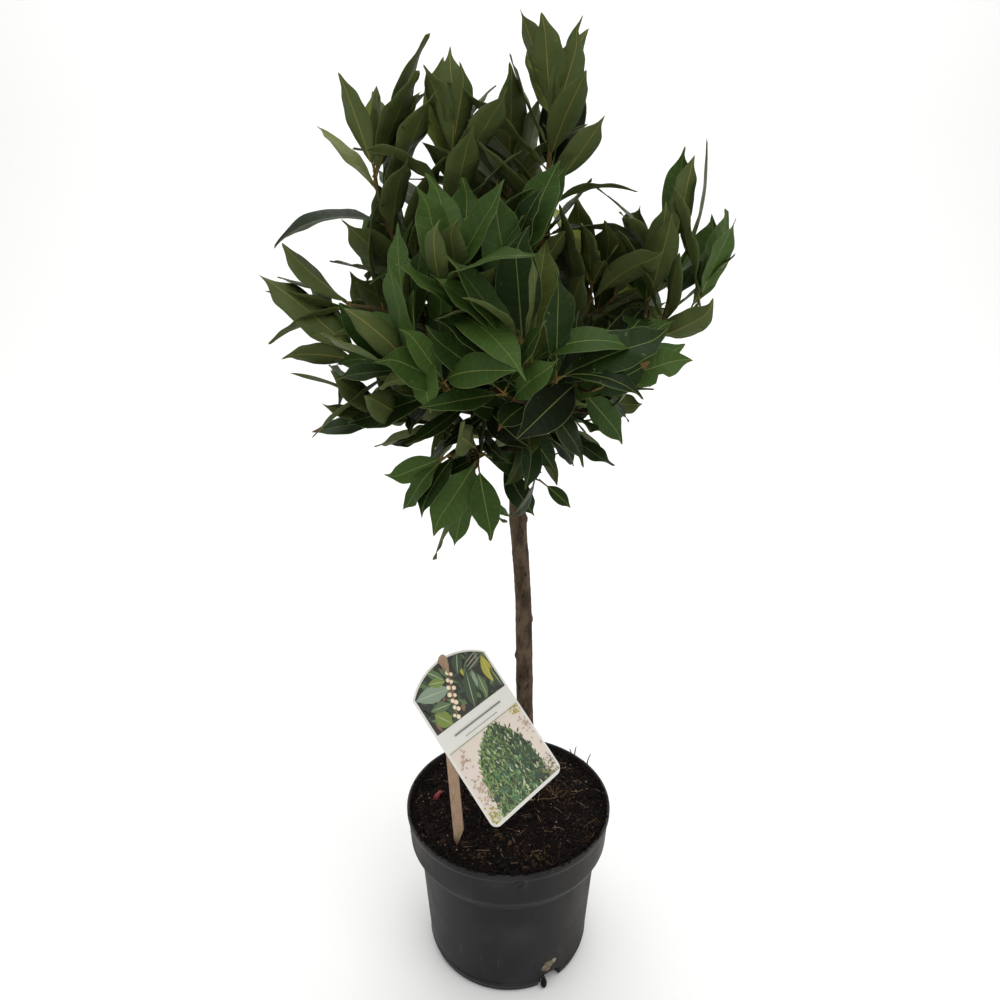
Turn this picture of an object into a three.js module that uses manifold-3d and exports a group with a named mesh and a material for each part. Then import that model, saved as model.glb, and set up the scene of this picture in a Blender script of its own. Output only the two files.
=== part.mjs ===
// A standard bay topiary: a potted bay laurel grown as a small tree, with one bare trunk and a loose head.
// Millimetres, +Z up. The origin is the middle of the pot's flat underside. The plant's front faces -Y.

import * as THREE from 'three';
import { mergeVertices } from 'three/addons/utils/BufferGeometryUtils.js';
import Module from 'manifold-3d';

const wasm = await Module();
wasm.setup();

// ---------------------------------------------------------------- driving dimensions

const GAP = 0.35; // between pieces that touch in the real plant

// The nursery pot, 19 cm across and moulded in one piece.
const POT_HEIGHT = 151;
const RIM_RADIUS = 94.2;
const RIM_DEPTH = 4;
const COLLAR_TOP_RADIUS = 93;
const COLLAR_FOOT_RADIUS = 91.3;
const COLLAR_DEPTH = 32; // from the rim down to where the soft step begins
const SHOULDER_RADIUS = 88.6; // partway round the step
const SHOULDER_DEPTH = 38;
const BODY_TOP_RADIUS = 82.4;
const STEP_DEPTH = 46; // from the rim down to where the step ends
const BODY_FOOT_RADIUS = 75.4;
const FOOT_RADIUS = 69.5; // of the flat underside
const FOOT_ROUND = 8; // height of the rounded edge at the foot
const WALL = 2.2;
const RIM_LIP = 2.2;
const FLOOR = 3;
const POT_SIDES = 40;

// Drain notches are arched cuts through the foot of the wall.
const NOTCH_COUNT = 3;
const FIRST_NOTCH_BEARING = -59; // degrees
const NOTCH_WIDTH = 23;
const NOTCH_HEIGHT = 15;
const NOTCH_INNER_RADIUS = 63;
const NOTCH_LENGTH = 25;

// The compost fills the pot to just under its rim.
const COMPOST_TOP = 146;
const COMPOST_FLAT_RADIUS = 80;

// The trunk: its middle line, its half thickness and its root flare.
const GROUND = COMPOST_TOP + GAP; // height of the flat cut at ground level
const FORK = 578; // height of the fork where the leader goes on
const TRUNK_LINE = [
  [20, 20, 136], [18.6, 22, 165], [15.5, 27, 231], [13, 25, 343], [7.2, 20, 425], [4, 15, 480],
  [6, 11, 530], [11, 7, 590],
];
const TRUNK_FOOT_RADIUS = 8.2;
const TRUNK_GRAFT_RADIUS = 6.9;
const TRUNK_FORK_RADIUS = 4.3;
const ROOT_FLARE = 3.6; // added at the ground
const FLARE_HEIGHT = 11; // the flare fades by two thirds over this height
const GRAFT = 428; // height of the swollen joint where the head was budded on
const GRAFT_SWELL = 1.3;
const GRAFT_SPREAD = 9;
const TRUNK_SIDES = 10;
const TRUNK_RINGS = 24;

// Boughs are tapering limbs from the trunk to the foot of a mass of leaves.
const BOUGH_ROOT_RADIUS = 3.5;
const BOUGH_TIP_RADIUS = 2.3;
const BOUGH_SIDES = 6;
const BOUGH_RINGS = 3;
const BOUGH_SAG = 0.22; // how far a bough leaves sideways before it turns up, as a share of its rise

// Masses of leaves are uneven flames round a straight axis.
const MASS_SIDES = 12;
const MASS_RINGS = 6;
const MASS_FOOT_SHARE = 0.2; // half thickness at the foot, as a share of the girth
const LOBE_DEPTH = 0.2; // how far bunches of leaves stand out, as a share of the girth
const SMALL_LOBE_DEPTH = 0.1;

// One row for each limb: name; height on the trunk where its bough springs; then bearing, reach and height of
// the foot of its mass; then bearing, lean from upright and length of the mass's axis, and the mass's girth
// (its largest half thickness). Bearings are in degrees from +X towards +Y, and reach is from the Z axis.
const LIMBS = [
  ['leader', 572, 5, 22, 630, -11, 3, 167, 42],
  ['top_back', 548, 86, 28, 618, 97, 7, 127, 38],
  ['top_left', 556, 177, 36, 622, -173, 6, 147, 42],
  ['far_left', 528, 177, 80, 632, -175, 20, 128, 43],
  ['far_right', 518, 0, 98, 562, -3, 15, 153, 43],
  ['mid_right', 540, 8, 57, 588, -9, 9, 77, 37],
  ['front_top', 536, -99, 36, 584, -90, 18, 97, 36],
  ['front_left_top', 530, -136, 61, 582, -103, 27, 96, 38],
  ['front', 508, -72, 44, 530, -100, 34, 126, 51],
  ['front_left', 514, -135, 59, 540, -144, 58, 102, 42],
  ['left_upper', 524, 179, 82, 590, -178, 73, 104, 31],
  ['left_lower', 510, -173, 77, 548, 179, 76, 104, 31],
  ['low_left', 494, -171, 61, 512, -172, 89, 88, 29],
  ['droop_left', 482, -148, 31, 494, -131, 152, 79, 42],
  ['droop_right', 468, 0, 15, 466, -27, 110, 32, 14],
  ['low_right', 492, -31, 51, 524, -15, 96, 63, 30],
  ['front_right', 500, -44, 61, 546, -27, 65, 79, 35],
  ['back', 532, 85, 50, 566, 88, 27, 143, 47],
  ['back_left', 526, 139, 67, 560, 147, 38, 137, 47],
  ['back_right', 516, 38, 74, 562, 42, 39, 124, 46],
  ['low_back_left', 498, 132, 54, 512, 144, 81, 86, 39],
  ['low_back_right', 490, 42, 59, 508, 35, 85, 76, 38],
  ['low_back', 486, 85, 44, 506, 94, 68, 85, 39],
];

// The plant label: a thin card with an arched head, threaded on a flat wooden stick.
const CARD_WIDTH = 81.5;
const CARD_HEIGHT = 120.5;
const CARD_THICKNESS = 0.8;
const CARD_CORNER = 7;
const CARD_ARCH = 16; // rise of the arched head
const CARD_CENTRE = [-16.6, -45.7, 251.4];
const CARD_TURN = 34.6; // degrees about Z
const CARD_LEAN = -41; // degrees, backwards
const CARD_TILT = -14; // degrees in its own plane
const STICK_FOOT = [-42.5, -54.5, GROUND];
const STICK_SLOT = [-55.9, -20, 301.3]; // where the stick goes through the card
const STICK_ABOVE_SLOT = 11.5;
const STICK_WIDTH = 9.3;
const STICK_THICKNESS = 2;
const STICK_TURN = -14; // degrees about its own length
const STICK_POINT = 15; // length of the slanted point at the ground

// Surface colours and finishes: colour, roughness.
const BLACK_PLASTIC = ['#353334', 0.55];
const COMPOST = ['#1a110f', 1];
const BARK = ['#45382b', 0.85];
const GREEN_BARK = ['#3a3f24', 0.7];
const LEAF_GREENS = [['#33461f', 0.5], ['#3e5228', 0.5], ['#2c3b1c', 0.5], ['#4a5e2d', 0.5]];
const CARD_WHITE = ['#d2d0c7', 0.4];
const WOOD = ['#8f725d', 0.8];

// ---------------------------------------------------------------- helpers

const UP = new THREE.Vector3(0, 0, 1);
const radians = THREE.MathUtils.degToRad;
const point = (xyz) => new THREE.Vector3(...xyz);
const cylindrical = (bearing, reach, height) =>
  new THREE.Vector3(reach * Math.cos(radians(bearing)), reach * Math.sin(radians(bearing)), height);

/** Turns a closed three.js geometry into a solid, with its shared vertices merged. */
function toSolid(geometry) {
  geometry.deleteAttribute('normal');
  geometry.deleteAttribute('uv');
  const merged = mergeVertices(geometry, 1e-4);
  const corners = [];
  for (let i = 0; i < merged.index.count; i += 3) {
    const [a, b, c] = [0, 1, 2].map((k) => merged.index.getX(i + k));
    if (a !== b && b !== c && c !== a) corners.push(a, b, c);
  }
  const vertProperties = Float32Array.from(merged.attributes.position.array);
  return new wasm.Manifold(new wasm.Mesh({ numProp: 3, vertProperties, triVerts: Uint32Array.from(corners) }));
}

/** Turns a solid back into a three.js geometry. */
function toGeometry(solid) {
  const { vertProperties, triVerts } = solid.getMesh();
  const geometry = new THREE.BufferGeometry();
  geometry.setAttribute('position', new THREE.BufferAttribute(vertProperties, 3));
  geometry.setIndex(new THREE.BufferAttribute(triVerts, 1));
  return geometry;
}

/** Keeps the largest of the lumps that cutting may leave. */
function largest(solid) {
  return solid.decompose().reduce((best, lump) => (lump.volume() > best.volume() ? lump : best));
}

/** A body of revolution about Z from pairs of radius and height. */
function turned(profile) {
  const geometry = new THREE.LatheGeometry(profile.map(([r, z]) => new THREE.Vector2(r, z)), POT_SIDES);
  return geometry.rotateX(Math.PI / 2);
}

/** A closed limb round a curve: radiusAt gives its half thickness from the share of the way and the angle. */
function grown(curve, radiusAt, sides, rings) {
  const profile = [new THREE.Vector2(0, 0)];
  for (let ring = 0; ring <= rings; ring += 1) profile.push(new THREE.Vector2(1, ring / rings));
  profile.push(new THREE.Vector2(0, 1));
  const geometry = new THREE.LatheGeometry(profile, sides).rotateX(Math.PI / 2);
  const position = geometry.attributes.position;
  const vertex = new THREE.Vector3();
  const turn = new THREE.Quaternion();
  for (let i = 0; i < position.count; i += 1) {
    vertex.fromBufferAttribute(position, i);
    const share = THREE.MathUtils.clamp(vertex.z, 0, 1);
    const radius = Math.hypot(vertex.x, vertex.y) * radiusAt(share, Math.atan2(vertex.y, vertex.x));
    turn.setFromUnitVectors(UP, curve.getTangentAt(share));
    vertex.setZ(0).normalize().multiplyScalar(radius).applyQuaternion(turn).add(curve.getPointAt(share));
    position.setXYZ(i, vertex.x, vertex.y, vertex.z);
  }
  return geometry;
}

// ---------------------------------------------------------------- pot and compost

/** The wall from the top of the body over the soft step to the top of the collar, set in by a distance. */
function collar(inset) {
  return [
    [BODY_TOP_RADIUS - inset, POT_HEIGHT - STEP_DEPTH], [SHOULDER_RADIUS - inset, POT_HEIGHT - SHOULDER_DEPTH],
    [COLLAR_FOOT_RADIUS - inset, POT_HEIGHT - COLLAR_DEPTH], [COLLAR_TOP_RADIUS - inset, POT_HEIGHT - RIM_DEPTH - 3],
  ];
}

/** Outer outline of the pot, from its flat underside up to the rim. */
function potOutline() {
  return [
    [FOOT_RADIUS, 0], [FOOT_RADIUS + 4, 2], [BODY_FOOT_RADIUS, FOOT_ROUND], ...collar(0),
    [RIM_RADIUS, POT_HEIGHT - RIM_DEPTH], [RIM_RADIUS, POT_HEIGHT],
  ];
}

/** Inner outline of the pot, from the floor up to the rim, set in by the given distance. */
function potInside(inset) {
  const inner = WALL + inset;
  return [
    [BODY_FOOT_RADIUS - inner, FLOOR + inset], ...collar(inner), [RIM_RADIUS - RIM_LIP - inset, POT_HEIGHT],
  ];
}

/** An arched drain notch, as the solid that is cut away. */
function notch(index) {
  const half = NOTCH_WIDTH / 2;
  const arch = new THREE.Shape();
  arch.moveTo(-half, -1);
  arch.lineTo(half, -1);
  arch.lineTo(half * 0.75, NOTCH_HEIGHT * 0.75);
  arch.quadraticCurveTo(half * 0.6, NOTCH_HEIGHT, 0, NOTCH_HEIGHT);
  arch.quadraticCurveTo(-half * 0.6, NOTCH_HEIGHT, -half * 0.75, NOTCH_HEIGHT * 0.75);
  const geometry = new THREE.ExtrudeGeometry(arch, { depth: NOTCH_LENGTH, bevelEnabled: false, curveSegments: 4 });
  geometry.rotateX(Math.PI / 2).rotateZ(Math.PI / 2).translate(NOTCH_INNER_RADIUS, 0, 0);
  return toSolid(geometry.rotateZ(radians(FIRST_NOTCH_BEARING + (index * 360) / NOTCH_COUNT)));
}

function buildPot() {
  let pot = toSolid(turned([[0, 0], ...potOutline(), ...potInside(0).reverse(), [0, FLOOR]]));
  for (let index = 0; index < NOTCH_COUNT; index += 1) pot = pot.subtract(notch(index));
  return toGeometry(pot);
}

function buildCompost() {
  const wall = potInside(GAP).filter(([, z]) => z < COMPOST_TOP);
  return turned([[0, FLOOR + GAP], ...wall, [COMPOST_FLAT_RADIUS, COMPOST_TOP], [0, COMPOST_TOP]]);
}

// ---------------------------------------------------------------- trunk

const trunkCurve = new THREE.CatmullRomCurve3(TRUNK_LINE.map(point));

/** Half thickness of the trunk at a height: two even tapers, the root flare and the swollen graft. */
function trunkRadius(height) {
  const { mapLinear } = THREE.MathUtils;
  const taper = height < GRAFT
    ? mapLinear(height, GROUND, GRAFT, TRUNK_FOOT_RADIUS, TRUNK_GRAFT_RADIUS)
    : mapLinear(height, GRAFT, FORK, TRUNK_GRAFT_RADIUS - 1, TRUNK_FORK_RADIUS);
  const flare = ROOT_FLARE * Math.exp((GROUND - height) / FLARE_HEIGHT);
  const swell = GRAFT_SWELL * Math.exp(-(((height - GRAFT) / GRAFT_SPREAD) ** 2));
  return taper + flare + swell;
}

/** The trunk between two level cuts, or a fatter copy of it that cuts its neighbours. */
function trunkSolid(extra = 0) {
  const radiusAt = (share) => trunkRadius(trunkCurve.getPointAt(share).z) + extra;
  return toSolid(grown(trunkCurve, radiusAt, TRUNK_SIDES, TRUNK_RINGS))
    .trimByPlane([0, 0, 1], GROUND)
    .trimByPlane([0, 0, -1], -(FORK + extra));
}

/** The point on the trunk's middle line at a height. */
function trunkPoint(height) {
  let [low, high] = [0, 1];
  for (let step = 0; step < 30; step += 1) {
    const middle = (low + high) / 2;
    if (trunkCurve.getPointAt(middle).z < height) low = middle;
    else high = middle;
  }
  return trunkCurve.getPointAt(low);
}

// ---------------------------------------------------------------- boughs and masses of leaves

/** A limb from its row of sizes: the curve of its bough and the axis of its mass. */
function limbFrom([name, springs, bearing, reach, height, heading, lean, length, girth], index) {
  const root = trunkPoint(springs);
  const foot = cylindrical(bearing, reach, height);
  const rise = new THREE.Vector3(0, 0, (foot.z - root.z) * BOUGH_SAG);
  const elbow = root.clone().lerp(foot, 0.5).sub(rise);
  const direction = cylindrical(heading, Math.sin(radians(lean)), Math.cos(radians(lean)));
  const start = foot.clone().addScaledVector(direction, GAP);
  const axis = new THREE.Line3(start, start.clone().addScaledVector(direction, length));
  return { name, index, root, elbow, foot, axis, girth };
}

/** A bough, or a fatter and longer copy of it that cuts its neighbours. */
function boughSolid(limb, extra = 0) {
  const onward = limb.foot.clone().sub(limb.elbow).normalize().multiplyScalar(extra);
  const curve = new THREE.QuadraticBezierCurve3(limb.root, limb.elbow, limb.foot.clone().add(onward));
  const radiusAt = (share) => THREE.MathUtils.lerp(BOUGH_ROOT_RADIUS, BOUGH_TIP_RADIUS, share) + extra;
  return toSolid(grown(curve, radiusAt, BOUGH_SIDES, BOUGH_RINGS));
}

/** A mass of leaves: a flame that swells from its foot to its girth and runs out to its furthest leaf tip. */
function massSolid({ axis, girth, index }) {
  const curve = new THREE.LineCurve3(axis.start, axis.end);
  const phase = 2.4 * index;
  const radiusAt = (share, angle) => {
    const swell = Math.max(Math.sin(Math.PI * share ** 0.72), 0) ** 0.8;
    const lobes = 1 + LOBE_DEPTH * Math.cos(5 * angle + 8 * share + phase)
      + SMALL_LOBE_DEPTH * Math.cos(3 * angle - 11 * share + 2 * phase);
    return girth * (MASS_FOOT_SHARE * (1 - share) + (1 - MASS_FOOT_SHARE) * swell * lobes);
  };
  return toSolid(grown(curve, radiusAt, MASS_SIDES, MASS_RINGS));
}

/** Parts two masses that grow into each other along the level between their axes. */
function separate(one, other) {
  if (one.mass.intersect(other.mass).isEmpty()) return;
  const [near, far] = [new THREE.Vector3(), new THREE.Vector3()];
  one.axis.distanceSqToLine3(other.axis, near, far);
  const normal = far.clone().sub(near).normalize();
  const border = near.clone().lerp(far, one.girth / (one.girth + other.girth));
  const offset = normal.dot(border);
  one.mass = one.mass.trimByPlane(normal.clone().negate().toArray(), -(offset - GAP / 2));
  other.mass = other.mass.trimByPlane(normal.toArray(), offset + GAP / 2);
}

/** Cuts every limb clear of the trunk and of the other limbs. */
function buildLimbs() {
  const limbs = LIMBS.map(limbFrom);
  let wood = trunkSolid(GAP);
  for (const limb of limbs) {
    limb.bough = largest(boughSolid(limb).subtract(wood));
    wood = wood.add(boughSolid(limb, GAP));
    limb.mass = massSolid(limb);
  }
  for (const [order, one] of limbs.entries()) {
    for (const other of limbs.slice(order + 1)) separate(one, other);
  }
  for (const limb of limbs) limb.mass = largest(limb.mass.subtract(wood));
  return limbs;
}

// ---------------------------------------------------------------- plant label

/** The wooden stick, with a round head and a slanted point, or a fatter copy of it that cuts its slot. */
function stickSolid(extra = 0) {
  const foot = point(STICK_FOOT);
  const along = point(STICK_SLOT).sub(foot);
  const length = along.length() + STICK_ABOVE_SLOT;
  const half = STICK_WIDTH / 2 + extra;
  const outline = new THREE.Shape();
  outline.moveTo(-half * 0.5, 0);
  outline.lineTo(half, STICK_POINT);
  outline.lineTo(half, length - 2 * half);
  outline.absellipse(0, length - 2 * half, half, 2 * half, 0, Math.PI, false);
  outline.lineTo(-half, STICK_POINT / 3);
  const thickness = STICK_THICKNESS + 2 * extra;
  const geometry = new THREE.ExtrudeGeometry(outline, { depth: thickness, bevelEnabled: false, curveSegments: 6 });
  geometry.translate(0, 0, -thickness / 2).rotateX(Math.PI / 2).rotateZ(radians(STICK_TURN));
  const turn = new THREE.Quaternion().setFromUnitVectors(UP, along.normalize());
  geometry.applyQuaternion(turn).translate(foot.x, foot.y, foot.z);
  return toSolid(geometry).trimByPlane([0, 0, 1], GROUND);
}

/** The card, upright in its own plane, then tilted, leant back and turned to its place. */
function cardSolid() {
  const [halfWidth, halfHeight, corner] = [CARD_WIDTH / 2, CARD_HEIGHT / 2, CARD_CORNER];
  const archRadius = (halfWidth ** 2 + CARD_ARCH ** 2) / (2 * CARD_ARCH);
  const archAngle = Math.asin(halfWidth / archRadius);
  const outline = new THREE.Shape();
  outline.moveTo(-halfWidth + corner, -halfHeight);
  outline.absarc(halfWidth - corner, -halfHeight + corner, corner, -Math.PI / 2, 0, false);
  outline.absarc(
    0, halfHeight + CARD_ARCH - archRadius, archRadius, Math.PI / 2 - archAngle, Math.PI / 2 + archAngle, false,
  );
  outline.absarc(-halfWidth + corner, -halfHeight + corner, corner, Math.PI, Math.PI * 1.5, false);
  const depth = CARD_THICKNESS;
  const geometry = new THREE.ExtrudeGeometry(outline, { depth, bevelEnabled: false, curveSegments: 6 });
  geometry.translate(0, 0, -depth / 2).rotateX(Math.PI / 2);
  const turn = new THREE.Euler(radians(CARD_LEAN), radians(CARD_TILT), radians(CARD_TURN), 'ZXY');
  geometry.applyQuaternion(new THREE.Quaternion().setFromEuler(turn)).translate(...CARD_CENTRE);
  return toSolid(geometry);
}

// ---------------------------------------------------------------- the whole plant

const plant = new THREE.Group();

function addPiece(name, geometry, [color, roughness]) {
  const material = new THREE.MeshStandardMaterial({ color, roughness, metalness: 0 });
  const mesh = new THREE.Mesh(geometry, material);
  mesh.name = name;
  plant.add(mesh);
}

addPiece('pot', buildPot(), BLACK_PLASTIC);
addPiece('compost', buildCompost(), COMPOST);
addPiece('trunk', toGeometry(trunkSolid()), BARK);
for (const { name, bough, mass, index } of buildLimbs()) {
  addPiece(`bough_${name}`, toGeometry(bough), GREEN_BARK);
  addPiece(`foliage_${name}`, toGeometry(mass), LEAF_GREENS[index % LEAF_GREENS.length]);
}
addPiece('label_card', toGeometry(cardSolid().subtract(stickSolid(GAP))), CARD_WHITE);
addPiece('label_stick', toGeometry(stickSolid()), WOOD);

export default plant;
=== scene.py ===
"""A potted standard bay: a bay laurel grown as a small tree in a black nursery pot, with its label.

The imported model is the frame. Each class below reads its places from the frame's nodes, builds its pieces as
numpy surfaces and dresses them. Lengths are metres, +Z is up and the plant's front faces -Y.
"""

from __future__ import annotations

import logging
import math
from dataclasses import dataclass, field, replace
from enum import Enum, IntEnum

import bpy
import numpy as np
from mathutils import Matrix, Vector
from mathutils.bvhtree import BVHTree

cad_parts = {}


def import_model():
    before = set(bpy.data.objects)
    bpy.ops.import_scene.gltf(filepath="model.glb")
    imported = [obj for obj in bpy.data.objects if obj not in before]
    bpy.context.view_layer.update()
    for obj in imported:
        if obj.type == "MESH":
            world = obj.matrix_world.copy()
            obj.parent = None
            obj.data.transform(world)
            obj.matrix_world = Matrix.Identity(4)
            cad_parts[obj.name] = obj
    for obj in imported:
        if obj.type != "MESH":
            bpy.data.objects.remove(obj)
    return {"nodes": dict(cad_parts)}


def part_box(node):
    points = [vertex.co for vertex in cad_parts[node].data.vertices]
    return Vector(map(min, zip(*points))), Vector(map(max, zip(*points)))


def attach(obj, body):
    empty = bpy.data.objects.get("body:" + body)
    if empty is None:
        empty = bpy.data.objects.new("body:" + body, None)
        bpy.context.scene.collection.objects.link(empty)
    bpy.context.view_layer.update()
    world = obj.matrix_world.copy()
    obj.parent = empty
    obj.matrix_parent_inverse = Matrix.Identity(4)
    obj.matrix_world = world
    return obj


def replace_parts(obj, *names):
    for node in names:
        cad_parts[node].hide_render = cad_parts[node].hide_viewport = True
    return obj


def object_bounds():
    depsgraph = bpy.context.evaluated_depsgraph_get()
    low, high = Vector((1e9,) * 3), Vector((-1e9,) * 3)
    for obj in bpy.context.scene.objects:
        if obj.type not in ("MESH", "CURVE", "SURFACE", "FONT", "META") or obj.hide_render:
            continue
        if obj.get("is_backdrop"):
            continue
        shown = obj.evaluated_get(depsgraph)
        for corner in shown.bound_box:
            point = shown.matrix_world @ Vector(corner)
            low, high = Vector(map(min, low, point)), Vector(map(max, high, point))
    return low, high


LOG = logging.getLogger("bay")
MM = 0.001
TAU = 2 * math.pi
GOLDEN_ANGLE = math.radians(137.5)
UP = np.array([0.0, 0.0, 1.0])


# ---------------------------------------------------------------------------------------------- numbers


def linear(colour: str) -> tuple[float, float, float, float]:
    """Turns an sRGB hex colour into Blender's linear colour.

    Args:
        colour: six hex digits after a hash.

    Returns:
        Linear red, green and blue, and an alpha of 1.
    """
    parts = [int(colour[i : i + 2], 16) / 255 for i in (1, 3, 5)]
    red, green, blue = (c / 12.92 if c <= 0.04045 else ((c + 0.055) / 1.055) ** 2.4 for c in parts)
    return red, green, blue, 1.0


def unit(vectors: np.ndarray) -> np.ndarray:
    """Scales vectors to length 1 along their last axis."""
    return vectors / np.maximum(np.linalg.norm(vectors, axis=-1, keepdims=True), 1e-12)


def smooth_step(low: float, high: float, x: np.ndarray) -> np.ndarray:
    """Rises from 0 at low to 1 at high as 3t^2 - 2t^3, where t is the share of the way."""
    t = np.clip((x - low) / (high - low), 0, 1)
    return t * t * (3 - 2 * t)


def ripples(points: np.ndarray, size: float, seed: int, waves: int = 9) -> np.ndarray:
    """Smooth noise between about -1 and 1: the mean of plane waves sin(k.p + phase) in seeded directions.

    Args:
        points: any array of points, with x, y and z along its last axis.
        size: typical length of one ripple.
        seed: seed of the directions and phases.
        waves: how many waves are added.

    Returns:
        One value for each point.
    """
    rng = np.random.default_rng(seed)
    direction = unit(rng.normal(size=(waves, 3))) * rng.uniform(0.6, 1.5, (waves, 1))
    phase = rng.uniform(0, TAU, waves)
    return np.sin(points @ direction.T * (TAU / size) + phase).sum(-1) * 1.5 / waves


def corner_cut(path: np.ndarray, times: int = 2) -> np.ndarray:
    """Rounds a path: each pass puts points 1/4 and 3/4 along every leg and keeps both ends."""
    for _ in range(times):
        near = 0.75 * path[:-1] + 0.25 * path[1:]
        far = 0.25 * path[:-1] + 0.75 * path[1:]
        middle = np.stack([near, far], 1).reshape(-1, path.shape[1])
        path = np.concatenate([path[:1], middle[1:-1], path[-1:]])
    return path


def evenly(path: np.ndarray, count: int) -> np.ndarray:
    """Puts a number of points at even steps of length along a path."""
    reach = np.concatenate([[0], np.cumsum(np.linalg.norm(np.diff(path, axis=0), axis=1))])
    at = np.linspace(0, reach[-1], count)
    return np.stack([np.interp(at, reach, path[:, axis]) for axis in range(path.shape[1])], -1)


def bend(start: np.ndarray, control: np.ndarray, end: np.ndarray, count: int) -> np.ndarray:
    """A quadratic Bezier curve: (1-t)^2 start + 2t(1-t) control + t^2 end."""
    t = np.linspace(0, 1, count)[:, None]
    return (1 - t) ** 2 * start + 2 * t * (1 - t) * control + t**2 * end


def frames_along(path: np.ndarray) -> tuple[np.ndarray, np.ndarray, np.ndarray]:
    """Tangent, side and upper direction at each point of a path, with side x upper = tangent.

    Args:
        path: points of an open path.

    Returns:
        Three arrays of unit vectors.
    """
    tangent = unit(np.gradient(path, axis=0))
    chord = unit(path[-1] - path[0])
    hint = np.eye(3)[np.argmin(np.abs(chord))]
    side = unit(hint - (tangent @ hint)[:, None] * tangent)
    return tangent, side, np.cross(tangent, side)


# ---------------------------------------------------------------------------------------------- surfaces


@dataclass
class Surface:
    """Points, faces of three or four corners (-1 for no fourth corner), and each face's finish number."""

    points: np.ndarray
    faces: np.ndarray
    finish: np.ndarray


def grid_faces(rows: int, columns: int, wrap: bool) -> np.ndarray:
    """Faces of a grid that is stored row by row, seen anticlockwise from columns x rows."""
    first = np.arange(rows - 1)[:, None] * columns
    left = np.arange(columns if wrap else columns - 1)[None]
    right = (left + 1) % columns
    corners = (first + left, first + right, first + columns + right, first + columns + left)
    return np.stack(np.broadcast_arrays(*corners), -1).reshape(-1, 4)


def fan(centre: int, ring: np.ndarray) -> np.ndarray:
    """Triangles from a centre point to each leg of a closed ring."""
    after = np.roll(ring, -1)
    return np.stack([np.full_like(ring, centre), ring, after, np.full_like(ring, -1)], -1)


def capped(grid: np.ndarray, start: np.ndarray, end: np.ndarray, finish: int = 0) -> Surface:
    """Closes a grid of rings with a fan at both ends.

    Args:
        grid: points in rows of one ring each.
        start: middle point of the first cap.
        end: middle point of the last cap.
        finish: finish number of every face.

    Returns:
        The closed surface.
    """
    rows, columns = grid.shape[:2]
    points = np.concatenate([grid.reshape(-1, 3), start[None], end[None]])
    ring = np.arange(columns)
    last = (rows - 1) * columns
    faces = np.concatenate([
        grid_faces(rows, columns, True),
        fan(rows * columns, ring[::-1].copy()),
        fan(rows * columns + 1, ring + last),
    ])
    return Surface(points, faces, np.full(len(faces), finish))


def tube(
    path: np.ndarray, radii: np.ndarray, sides: int, relief: np.ndarray | float = 0.0, finish: int = 0
) -> Surface:
    """A closed tube: point = path + (radius + relief)(cos a side + sin a upper).

    Args:
        path: points of the middle line.
        radii: half thickness at each point.
        sides: points in each ring.
        relief: extra radius, one value or one for each point of each ring.
        finish: finish number of its faces.

    Returns:
        The closed surface.
    """
    _, side, upper = frames_along(path)
    angle = np.linspace(0, TAU, sides, endpoint=False)
    round_ring = side[:, None] * np.cos(angle)[:, None] + upper[:, None] * np.sin(angle)[:, None]
    radius = np.broadcast_to(radii[:, None] + relief, (len(path), sides))
    return capped(path[:, None] + radius[..., None] * round_ring, path[0], path[-1], finish)


def turned(profile: np.ndarray, columns: int) -> np.ndarray:
    """Rings of a body of revolution about Z: (r cos a, r sin a, z) for each radius and height."""
    angle = np.linspace(0, TAU, columns, endpoint=False)
    radius, height = profile[:, :1], profile[:, 1:]
    level = np.broadcast_to(height, (len(profile), columns))
    return np.stack([radius * np.cos(angle), radius * np.sin(angle), level], -1)


def lumps(centres: np.ndarray, sizes: np.ndarray, rng: np.random.Generator, finish: int = 0) -> Surface:
    """Small uneven stones: one icosahedron each, with its corners pushed about and its three axes scaled.

    Args:
        centres: where each lump lies.
        sizes: half sizes, three for each lump.
        rng: source of the unevenness.
        finish: finish number of the faces.

    Returns:
        All the lumps as one surface.
    """
    t = (1 + math.sqrt(5)) / 2
    corners = [(-1, t, 0), (1, t, 0), (-1, -t, 0), (1, -t, 0), (0, -1, t), (0, 1, t)]
    corners += [(0, -1, -t), (0, 1, -t), (t, 0, -1), (t, 0, 1), (-t, 0, -1), (-t, 0, 1)]
    template = unit(np.array(corners, float))
    sides = "0B5 051 017 07A 0AB 159 5B4 BA2 A76 718 394 342 326 368 389 495 24B 62A 867 981"
    faces = np.array([[int(c, 12) for c in side] + [-1] for side in sides.split()])
    count = len(centres)
    local = template * rng.uniform(0.7, 1.25, (count, 12, 1)) * sizes[:, None]
    turn, _ = np.linalg.qr(rng.normal(size=(count, 3, 3)))
    turn *= np.sign(np.linalg.det(turn))[:, None, None]
    points = (local @ turn + centres[:, None]).reshape(-1, 3)
    all_faces = np.where(faces < 0, -1, faces + 12 * np.arange(count)[:, None, None]).reshape(-1, 4)
    return Surface(points, all_faces, np.full(len(all_faces), finish))


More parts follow.
